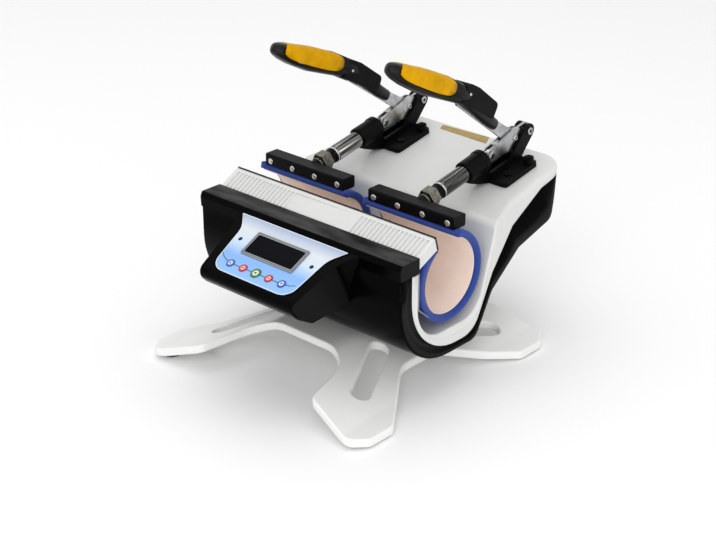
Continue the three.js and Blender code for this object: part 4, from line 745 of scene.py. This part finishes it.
for k, (kind, mark_material) in enumerate(MARKS):
    x = (k - MIDDLE_BUTTON) * BUTTON_PITCH
    radius = BUTTON_RADII[k]
    body = f"button_{k + 1}"
    paint = button_paint[BUTTON_ORDER[k]]
    slot = f"button_{BUTTON_ORDER[k]}"
    base = face_point(x, BUTTON_RUN, 0) / MM
    dish_rim, dish_floor = (radius * share for share in CAP_DISH_SHARES)
    cap = turned(f"{body}_cap", [
        (radius - CAP_WALL, CAP_FRONT - CAP_SKIRT), (radius, CAP_FRONT - CAP_SKIRT),
        (radius, CAP_FRONT - CAP_ROUND), (radius - CAP_ROUND, CAP_FRONT), (dish_rim, CAP_FRONT),
        (dish_floor, CAP_FRONT - CAP_DISH), (CENTRE, CAP_FRONT - CAP_DISH),
    ], base, FACE_OUT)
    place(f"{body}_cap", cap, body, paint, slot, body)
    wide, narrow = (radius * share for share in DISC_SHARES)
    disc_radii = (wide, wide, narrow, CENTRE)
    disc_profile = [(across, CAP_FRONT - down) for across, down in zip(disc_radii, DISC_RISES)]
    disc = turned(f"{body}_disc", disc_profile, base, FACE_OUT)
    place(f"{body}_disc", disc, body, mark_material, slot)
    outline = mark_outline(kind, x, BUTTON_RUN, MARK_HALF)
    spot = face_prism(f"{body}_mark", outline, CAP_FRONT - MARK_SINK, CAP_FRONT + MARK_PROUD)
    place(f"{body}_mark", spot, body, paint, slot)


def rounded(corners, closed, steps):
    points = []
    count = len(corners)
    for k, (a, b, radius) in enumerate(corners):
        here = Vector((a, b))
        if not radius or (not closed and k in (0, count - 1)):
            points.append(here)
            continue
        before = corners[k - 1]
        after = corners[(k + 1) % count]
        back = (Vector(before[:2]) - here).normalized()
        ahead = (Vector(after[:2]) - here).normalized()
        half = math.acos(max(-1.0, min(1.0, back.dot(ahead)))) / 2
        centre = here + (back + ahead).normalized() * (radius / math.sin(half))
        start = here + back * (radius / math.tan(half)) - centre
        stop = here + ahead * (radius / math.tan(half)) - centre
        first = math.atan2(start.y, start.x)
        turn = math.atan2(stop.y, stop.x) - first
        turn = (turn + math.pi) % (2 * math.pi) - math.pi
        for step in range(steps + 1):
            angle = first + turn * step / steps
            points.append(centre + Vector((math.cos(angle), math.sin(angle))) * radius)
    return points


def offset_line(points, distance, closed=False):
    moved = []
    count = len(points)
    for k, point in enumerate(points):
        before = points[k - 1] if closed else points[max(k - 1, 0)]
        after = points[(k + 1) % count] if closed else points[min(k + 1, count - 1)]
        along = (after - before).normalized()
        moved.append(point + Vector((-along.y, along.x)) * distance)
    return moved


def mirrored_outline(half_outline, steps):
    right = [(x, run_down, radius) for x, run_down, radius in half_outline]
    left = [(-x, run_down, radius) for x, run_down, radius in reversed(half_outline)]
    return rounded(right + left, True, steps)


# A closed strip between two outlines of the face, with its own thickness.
def band(name, outer, inner, low, high):
    count = len(outer)
    points = []
    for outline, rise in ((outer, low), (inner, low), (inner, high), (outer, high)):
        points.extend(face_point(p.x, p.y, rise) for p in outline)
    faces = []
    for ring in range(4):
        for k in range(count):
            beside = (k + 1) % count
            a, b = ring * count, ((ring + 1) % 4) * count
            faces.append((a + k, a + beside, b + beside, b + k))
    return add_mesh(name, points, faces, smooth=False)


label_outline = mirrored_outline(LABEL_HALF_OUTLINE, LABEL_STEPS)
turned_in = offset_line(label_outline, BORDER_WIDTH, closed=True)
if abs(turned_in[0].x) > abs(label_outline[0].x):
    turned_in = offset_line(label_outline, -BORDER_WIDTH, closed=True)
border = band("label_border", label_outline, turned_in, LABEL_FRONT - LABEL_SINK, LABEL_FRONT + BORDER_PROUD)
place("label_border", border, "housing", pale_mark, "label_sheet")


def ribbon(points, half):
    above = [(x, run_down - half) for x, run_down in points]
    below = [(x, run_down + half) for x, run_down in reversed(points)]
    return above + below


def add_line(name, points):
    strip = face_prism(name, ribbon(points, LINE_HALF), LABEL_FRONT - LABEL_SINK, LABEL_FRONT + LINE_PROUD)
    place(name, strip, "housing", print_dark, "label_sheet")


add_line("label_line_left", LINE_POINTS[:4])
add_line("label_line_right", LINE_POINTS[-3:])
for k in range(len(BUTTON_RADII) - 1):
    start = (k - MIDDLE_BUTTON) * BUTTON_PITCH + BUTTON_RADII[k] + LINE_GAP
    stop = (k + 1 - MIDDLE_BUTTON) * BUTTON_PITCH - BUTTON_RADII[k + 1] - LINE_GAP
    add_line(f"label_line_{k + 1}", ((start, BUTTON_RUN), (stop, BUTTON_RUN)))
for label, side in SIDES.items():
    profile = [(radius, LABEL_FRONT + rise) for radius, rise in LAMP_RING]
    ring = turned(f"{label}_lamp_ring", profile, face_point(side * LAMP_X, LAMP_RUN, 0) / MM, FACE_OUT)
    place(f"{label}_lamp_ring", ring, "housing", led_dark, "led")

# Clamps: bolts on the jaw, rings on the spindle, screws on the base, and painted shade for the dimples in the
# rivets.
bright_zinc = surface("bright_zinc", (0.50, 0.50, 0.49), 0.24, metallic=1.0, tint=0.06, patch=200,
                      grain=(900, 0.15, 0.0003)).material
thread_steel = surface("thread_steel", (0.11, 0.11, 0.10), 0.25, metallic=1.0, tint=0.7, patch=420,
                       grain=(1200, 0.3, 0.0004)).material
# Painted shade: near black discs in the hollow centres of rivets and pin ends.
painted_shade_recess = surface("painted_shade_recess", (0.012, 0.012, 0.012), 0.6, specular=0.1, tint=0.2, patch=300).material


def dome(name, origin, axis, radius, height, sides=28):
    profile = [(radius, -DOME_SINK), (radius, height * DOME_WALL_SHARE)]
    for step in range(1, DOME_STEPS):
        bend = math.pi / 2 * step / DOME_STEPS
        rise = height * (DOME_WALL_SHARE + (1 - DOME_WALL_SHARE) * math.sin(bend))
        profile.append((radius * math.cos(bend) + CENTRE, rise))
    profile.append((CENTRE, height))
    return turned(name, profile, origin, axis, sides)


def add_on_spindle(name, profile, label, x0, material, slot, *replaced):
    ring = turned(name, profile, clamp_point(x0, 0, SPINDLE_W), CLAMP_ALONG)
    place(name, ring, f"{label}_plunger", material, slot, *replaced)


for label, side in SIDES.items():
    x0 = side * STATION
    for k, shift in enumerate(JAW_BOLT_SHIFTS):
        name = f"{label}_jaw_bolt_{k + 1}"
        origin = Vector((x0 + shift, WRAP_REAR_Y, JAW_BOLT_HEIGHT))
        bolt = dome(name, origin, (0, -1, 0), JAW_BOLT_RADIUS, JAW_BOLT_HEAD)
        place(name, bolt, f"{label}_plunger", bright_zinc, "zinc")
    add_on_spindle(f"{label}_jam_collar", JAM_COLLAR, label, x0, black_casting, "black_casting",
                   f"{label}_spindle")
    add_on_spindle(f"{label}_collar_ring", COLLAR_RING, label, x0, bright_zinc, "zinc")
    add_on_spindle(f"{label}_spindle_rod", SPINDLE_ROD, label, x0, thread_steel, "zinc")
    add_on_spindle(f"{label}_boss_ring", BOSS_RING, label, x0, thread_steel, "zinc")
    for k, (x, u, w, radius) in enumerate(BASE_SCREWS):
        head = ((radius, SCREW_SEAT), (radius, SCREW_WALL), (radius - SCREW_ROUND, SCREW_HEAD))
        profile = (*SCREW_SHANK, *head, *SCREW_SOCKET)
        screw = turned(f"{label}_base_screw_{k + 1}", profile, clamp_point(x0 + x, u, w), CLAMP_UP)
        place(f"{label}_base_screw_{k + 1}", screw, "housing", black_gloss, "black_casting")


# Housing: the white tray and the black shell again, with finer curves.
def smooth_share(value, low, high):
    share = min(1.0, max(0.0, (value - low) / (high - low)))
    return share * share * (3 - 2 * share)


def half_width(reach):
    straight = BODY_HALF + (TOWER_HALF - BODY_HALF) * smooth_share(reach, TAPER_FRONT, TAPER_REAR)
    into_corner = min(REAR_CORNER, max(0.0, reach - HOUSING_REAR + REAR_CORNER))
    return straight - REAR_CORNER + math.sqrt(REAR_CORNER ** 2 - into_corner ** 2)


def line_with_tail(corners):
    line = rounded(corners, False, ARC_STEPS)
    tail = line.pop()
    start = line[-1]
    for step in range(1, ARC_STEPS + 1):
        line.append(start.lerp(tail, math.sin(math.pi / 2 * step / ARC_STEPS)))
    return line


rim_line = line_with_tail(RIM_CORNERS)
shell_line = line_with_tail(SHELL_CORNERS)
tray_line = rounded(TRAY_CORNERS, False, ARC_STEPS)
deck_end = tray_line.pop()
shoulder = tray_line[-1]
rim_shoulder = rim_line[len(tray_line) - 1]
for point in rim_line[len(tray_line):]:
    share = (point.x - rim_shoulder.x) / (rim_line[-1].x - rim_shoulder.x)
    tray_line.append(shoulder.lerp(deck_end, share))


def housing_point(side, half, point):
    return Vector((side * half, MUG_AXIS.y + point.x, MUG_AXIS.z + point.y)) * MM


def tray_section(side, share):
    drop = 1 - math.sqrt(1 - share ** 2)
    from_crease = 1 - math.sqrt(1 - (1 - share) ** 2)
    ridge = RIDGE_RISE * max(0.0, 1 - abs(from_crease - RIDGE_PLACE) / RIDGE_HALF)
    top = []
    bottom = []
    for crease, rim in zip(tray_line, rim_line):
        widening = smooth_share(crease.x, TROUGH_HEEL, TAPER_REAR)
        inset = TROUGH_INSET + (DECK_INSET - TROUGH_INSET) * widening
        fade = 1 - smooth_share(crease.x, TROUGH_HEEL, DECK_FRONT[0])
        edge = rim + (crease - rim).normalized() * RIM_EDGE
        point = crease.lerp(edge, from_crease)
        top.append(housing_point(side, half_width(point.x) - inset * drop + ridge * fade, point))
        bottom.append(housing_point(side, half_width(rim.x) - inset * drop, rim))
    return top + bottom[::-1]


def shell_section(side, turn):
    inward = SHELL_EDGE * (1 - math.sin(turn))
    shrink = SHELL_EDGE * (1 - math.cos(turn))
    outer = offset_line(shell_line, shrink)
    top = []
    for rim in offset_line(rim_line, -GAP):
        seat = Vector((min(rim.x, SHELL_REAR), rim.y))
        top.append(housing_point(side, half_width(seat.x) - GAP - inward, seat))
    bottom = [housing_point(side, half_width(point.x) - GAP - inward, point) for point in outer]
    return top + bottom[::-1]


tray_sections = [tray_section(-1, share) for share in TRAY_SHARES]
tray_sections += [tray_section(1, share) for share in reversed(TRAY_SHARES)]
tray_mesh = loft("tray_skin", tray_sections, strips=True)
place("tray_skin", tray_mesh, "housing", white_moulding, "white_gloss", "tray")

shell_sections = [shell_section(-1, turn) for turn in SHELL_TURNS]
shell_sections += [shell_section(1, turn) for turn in reversed(SHELL_TURNS)]
shell_mesh = loft("shell_skin", shell_sections, strips=True)
shell_skin = place("shell_skin", shell_mesh, "housing", black_gloss, "black_gloss", "lower_shell")

# Rear wall pockets for the power inlet and the switch.
wall_rise = (WALL_HEAD - WALL_FOOT).normalized()
wall_out = Vector((0, wall_rise.z, -wall_rise.y))


def cut_pocket(target, x, half_x, half_rise):
    sections = []
    for out in (-POCKET_DEPTH, POCKET_LIP):
        section = []
        for across, up in ((-1, -1), (1, -1), (1, 1), (-1, 1)):
            on_wall = WALL_FOOT + RIGHT * (x + across * half_x) + wall_rise * (FITTING_RISE + up * half_rise)
            section.append((on_wall + wall_out * out) * MM)
        sections.append(section)
    cutter = bpy.data.objects.new("pocket", loft("pocket", sections, smooth=False))
    scene.collection.objects.link(cutter)
    carve = target.modifiers.new("pocket", "BOOLEAN")
    carve.operation = "DIFFERENCE"
    carve.solver = "EXACT"
    carve.object = cutter
    depsgraph = bpy.context.evaluated_depsgraph_get()
    carved = bpy.data.meshes.new_from_object(target.evaluated_get(depsgraph))
    target.modifiers.remove(carve)
    target.data = carved
    bpy.data.objects.remove(cutter)


for x, half_x, half_rise in POCKETS:
    cut_pocket(shell_skin, x, half_x, half_rise)

# Front lip: ribbed white bar with dark trim along its rear edge and right end.
lip_points = {key: Vector(value) for key, value in LIP_POINTS.items()}


def lip_world(x, point):
    return Vector((x, MUG_AXIS.y + point.x, MUG_AXIS.z + point.y)) * MM


def lip_section(x, depth, shrink):
    front_top = lip_points["front_top"]
    rear_top = lip_points["rear_top"]
    along = (rear_top - front_top).normalized()
    out = Vector((-along.y, along.x))
    slack = max(depth, LIP_SLACK)
    outline = [lip_points["front"], lip_points["rear"]]
    outline.append(rear_top.lerp(lip_points["rear"], LIP_EDGE_SHARES[0]))
    outline.append(rear_top.lerp(lip_points["rear"], LIP_EDGE_SHARES[1]) + along * LIP_EDGE_LEAN)
    outline.append(front_top.lerp(rear_top, LIP_TOP_SHARE))
    outline.append(front_top.lerp(rear_top, LIP_RIB_END + LIP_LEDGE_SHARE))
    outline.append(front_top.lerp(rear_top, LIP_RIB_END) - out * slack)
    outline.append(front_top.lerp(rear_top, LIP_RIB_START) - out * slack)
    outline.append(front_top - out * slack)
    middle = sum(outline, Vector((0, 0))) / len(outline)
    moved = [point.lerp(middle, shrink) for point in outline]
    return [lip_world(x, point) for point in moved]


def lip_end(side):
    sections = []
    for turn in LIP_END_TURNS:
        bend = math.pi / 2 * turn
        x = side * (LIP_HALF - LIP_END_EDGE * (1 - math.sin(bend)))
        sections.append(lip_section(x, 0, LIP_END_SHRINK * (1 - math.cos(bend))))
    return sections


def rib_sections(start):
    stop = start + LIP_RIB_PITCH
    groove = start + LIP_RIB_PITCH * (1 - LIP_RIB_SHARE)
    return [
        lip_section(start + RIB_ROUND, 0, 0),
        lip_section(groove - RIB_ROUND, 0, 0),
        lip_section(groove + RIB_WALLS[0], LIP_RIB_DEPTH * RIB_WALL_SHARE, 0),
        lip_section((groove + stop) / 2, LIP_RIB_DEPTH, 0),
        lip_section(stop - RIB_WALLS[1], LIP_RIB_DEPTH * RIB_WALL_SHARE, 0),
    ]


lip_sections = lip_end(-1)
for rib in range(LIP_RIB_COUNT):
    lip_sections += rib_sections(LIP_RIB_MARGIN + rib * LIP_RIB_PITCH - LIP_HALF)
for rib in range(LIP_RIB_COUNT):
    lip_sections += rib_sections(LIP_HALF - LIP_RIB_MARGIN - (LIP_RIB_COUNT - rib) * LIP_RIB_PITCH)
lip_sections += reversed(lip_end(1))
lip_mesh = loft("lip_skin", lip_sections, smooth=False)
place("lip_skin", lip_mesh, "housing", white_moulding, "white_gloss", "front_lip")


def add_trim(name, outline, ends):
    trim = loft(name, [[lip_world(x, point) for point in outline] for x in ends], smooth=False)
    place(name, trim, "housing", black_plastic, "black_plastic")


trim_outline = [lip_points["rear_top"] + Vector(shift) for shift in TRIM_OUTLINE]
add_trim("lip_trim", trim_outline, (-LIP_HALF + TRIM_ENDS[0], LIP_HALF - TRIM_ENDS[1]))
end_top = lip_points["rear_top"] + Vector(END_TRIM_TOP[0])
end_foot = lip_points["rear"] + Vector(END_TRIM_FOOT[0])
end_outline = [end_top, end_foot, end_foot + Vector(END_TRIM_FOOT[1]), end_top + Vector(END_TRIM_TOP[1])]
add_trim("lip_end_trim", end_outline, [LIP_HALF + reach for reach in END_TRIM_SPAN])


# Screen and its frame, with a light inner edge.
def window_outline(inset, radius):
    half = BEZEL_HALF - inset
    top = BEZEL_TOP_RUN + inset
    bottom = BEZEL_BOTTOM_RUN - inset
    corners = [(half, top, radius), (half, bottom, radius), (-half, bottom, radius), (-half, top, radius)]
    return rounded(corners, True, WINDOW_STEPS)


pale_edge = surface("pale_edge", (0.34, 0.37, 0.40), 0.35, metallic=0.3, tint=0.06, patch=200).material
frame_outer = window_outline(0, FRAME_RADII[0])
frame_inner = window_outline(BEZEL_FRAME, FRAME_RADII[1])
frame_band = band("screen_frame", frame_outer, frame_inner, 0.0, BEZEL_FRONT)
place("screen_frame", frame_band, "housing", bezel, "bezel_grey", "lcd_bezel")
for name, inset in (("outer", 0.0), ("inner", BEZEL_FRAME - BEZEL_EDGE)):
    edge_outer = window_outline(inset, EDGE_RADII[0])
    edge_inner = window_outline(inset + BEZEL_EDGE, EDGE_RADII[1])
    low, high = BEZEL_FRONT - EDGE_SINK, BEZEL_FRONT + EDGE_PROUD
    thin = band(f"screen_edge_{name}", edge_outer, edge_inner, low, high)
    place(f"screen_edge_{name}", thin, "housing", pale_edge, "bezel_grey")
glass_outline = [tuple(point) for point in window_outline(BEZEL_FRAME - SCREEN_LAP, FRAME_RADII[1])]
glass = face_prism("screen_glass", glass_outline, SCREEN_BACK, SCREEN_FRONT)
place("screen_glass", glass, "housing", screen, "screen", "lcd_screen")

# Gold strip on the deck.
gold = surface("gold_strip", (0.36, 0.255, 0.075), 0.4, specular=0.3, tint=0.18, patch=160).material


def deck_point(x, y, rise):
    reach = y - MUG_AXIS.y
    height = MUG_AXIS.z + DECK_FRONT[1] + (reach - DECK_FRONT[0]) * math.tan(CLAMP_PITCH)
    return Vector((x, y, height + rise)) * MM


strip_sections = [[deck_point(x, y, rise) for x, y in STRIP_CORNERS] for rise in (-STRIP_SINK, STRIP_RISE)]
strip_mesh = loft("gold_strip", strip_sections, smooth=False)
place("gold_strip", strip_mesh, "housing", gold, "label_sheet")


# Rivets and pins: bright heads with dark centres of painted shade on both faces of each clamp, a stud in each
# handle block.
def both_faces(label, key, centre, reach, profile, body, material, slot):
    for face in (-1, 1):
        end = "inner" if face < 0 else "outer"
        origin = centre + RIGHT * (face * reach)
        name = f"{label}_{key}_{end}"
        place(name, turned(name, profile, origin, (face, 0, 0), 24), body, material, slot)


for label, side in SIDES.items():
    x0 = side * STATION
    link, plunger, lever = f"{label}_link", f"{label}_plunger", f"{label}_lever"
    rivet = clamp_point(x0, RIVET_U, PIVOT_W)
    lever_pin = clamp_point(x0, LEVER_PIVOT_U, PIVOT_W)
    link_pin = clamp_point(x0, LINK_PIVOT_U, PIVOT_W)
    stud = STUD_PLACES[label] + RIGHT * x0
    both_faces(label, "link_rivet", rivet, RIVET_REACH, RIVET_HEAD, link, bright_zinc, "zinc")
    both_faces(label, "rivet_centre", rivet, RIVET_CENTRE_REACH, SMALL_CENTRE, link, painted_shade_recess, "zinc")
    both_faces(label, "pin_centre", lever_pin, LEVER_PIN_REACH, PIN_CENTRE, "housing", painted_shade_recess, "zinc")
    both_faces(label, "link_pin_centre", link_pin, LINK_PIN_REACH, SMALL_CENTRE, plunger, painted_shade_recess, "zinc")
    both_faces(label, "block_stud", stud, STUD_REACH, STUD_HEAD, lever, bright_zinc, "zinc")


# Stage: white floor and white surroundings for what the camera, gloss and glass see.
def see_white(node_tree, seen, lit):
    path = node_tree.nodes.new("ShaderNodeLightPath")
    either = node_tree.nodes.new("ShaderNodeMath")
    either.operation = "MAXIMUM"
    node_tree.links.new(path.outputs["Is Camera Ray"], either.inputs[0])
    node_tree.links.new(path.outputs["Is Glossy Ray"], either.inputs[1])
    both = node_tree.nodes.new("ShaderNodeMath")
    both.operation = "MAXIMUM"
    node_tree.links.new(either.outputs[0], both.inputs[0])
    node_tree.links.new(path.outputs["Is Transmission Ray"], both.inputs[1])
    strength = node_tree.nodes.new("ShaderNodeMapRange")
    strength.inputs["To Min"].default_value = lit
    strength.inputs["To Max"].default_value = seen
    node_tree.links.new(both.outputs[0], strength.inputs["Value"])
    return strength.outputs["Result"]


world = bpy.data.worlds.new("surroundings")
scene.world = world
world.use_nodes = True
background = world.node_tree.nodes["Background"]
background.inputs["Color"].default_value = (1, 1, 1, 1)
world.node_tree.links.new(see_white(world.node_tree, WORLD_SEEN, WORLD_LIT), background.inputs["Strength"])

floor_mesh = bpy.data.meshes.new("floor")
floor_mesh.from_pydata(
    [(x * FLOOR_HALF, y * FLOOR_HALF, 0) for x, y in ((-1, -1), (1, -1), (1, 1), (-1, 1))], [], [(0, 1, 2, 3)]
)
floor = bpy.data.objects.new("floor", floor_mesh)
scene.collection.objects.link(floor)
floor_material = bpy.data.materials.new("floor")
floor_material.use_nodes = True
floor_shader = floor_material.node_tree.nodes["Principled BSDF"]
floor_shader.inputs["Base Color"].default_value = FLOOR_TONE
floor_shader.inputs["Roughness"].default_value = FLOOR_ROUGHNESS
floor_shader.inputs["Specular IOR Level"].default_value = FLOOR_SPECULAR
floor_mesh.materials.append(floor_material)


def add_lamp(name, stand, aim, size, power):
    data = bpy.data.lights.new(name, "AREA")
    data.shape = "RECTANGLE"
    data.size, data.size_y = size
    data.energy = power
    obj = bpy.data.objects.new(name, data)
    scene.collection.objects.link(obj)
    obj.location = stand
    obj.rotation_mode = "QUATERNION"
    obj.rotation_quaternion = (Vector(aim) - Vector(stand)).to_track_quat("-Z", "Y")


for lamp in LAMPS:
    add_lamp(*lamp)
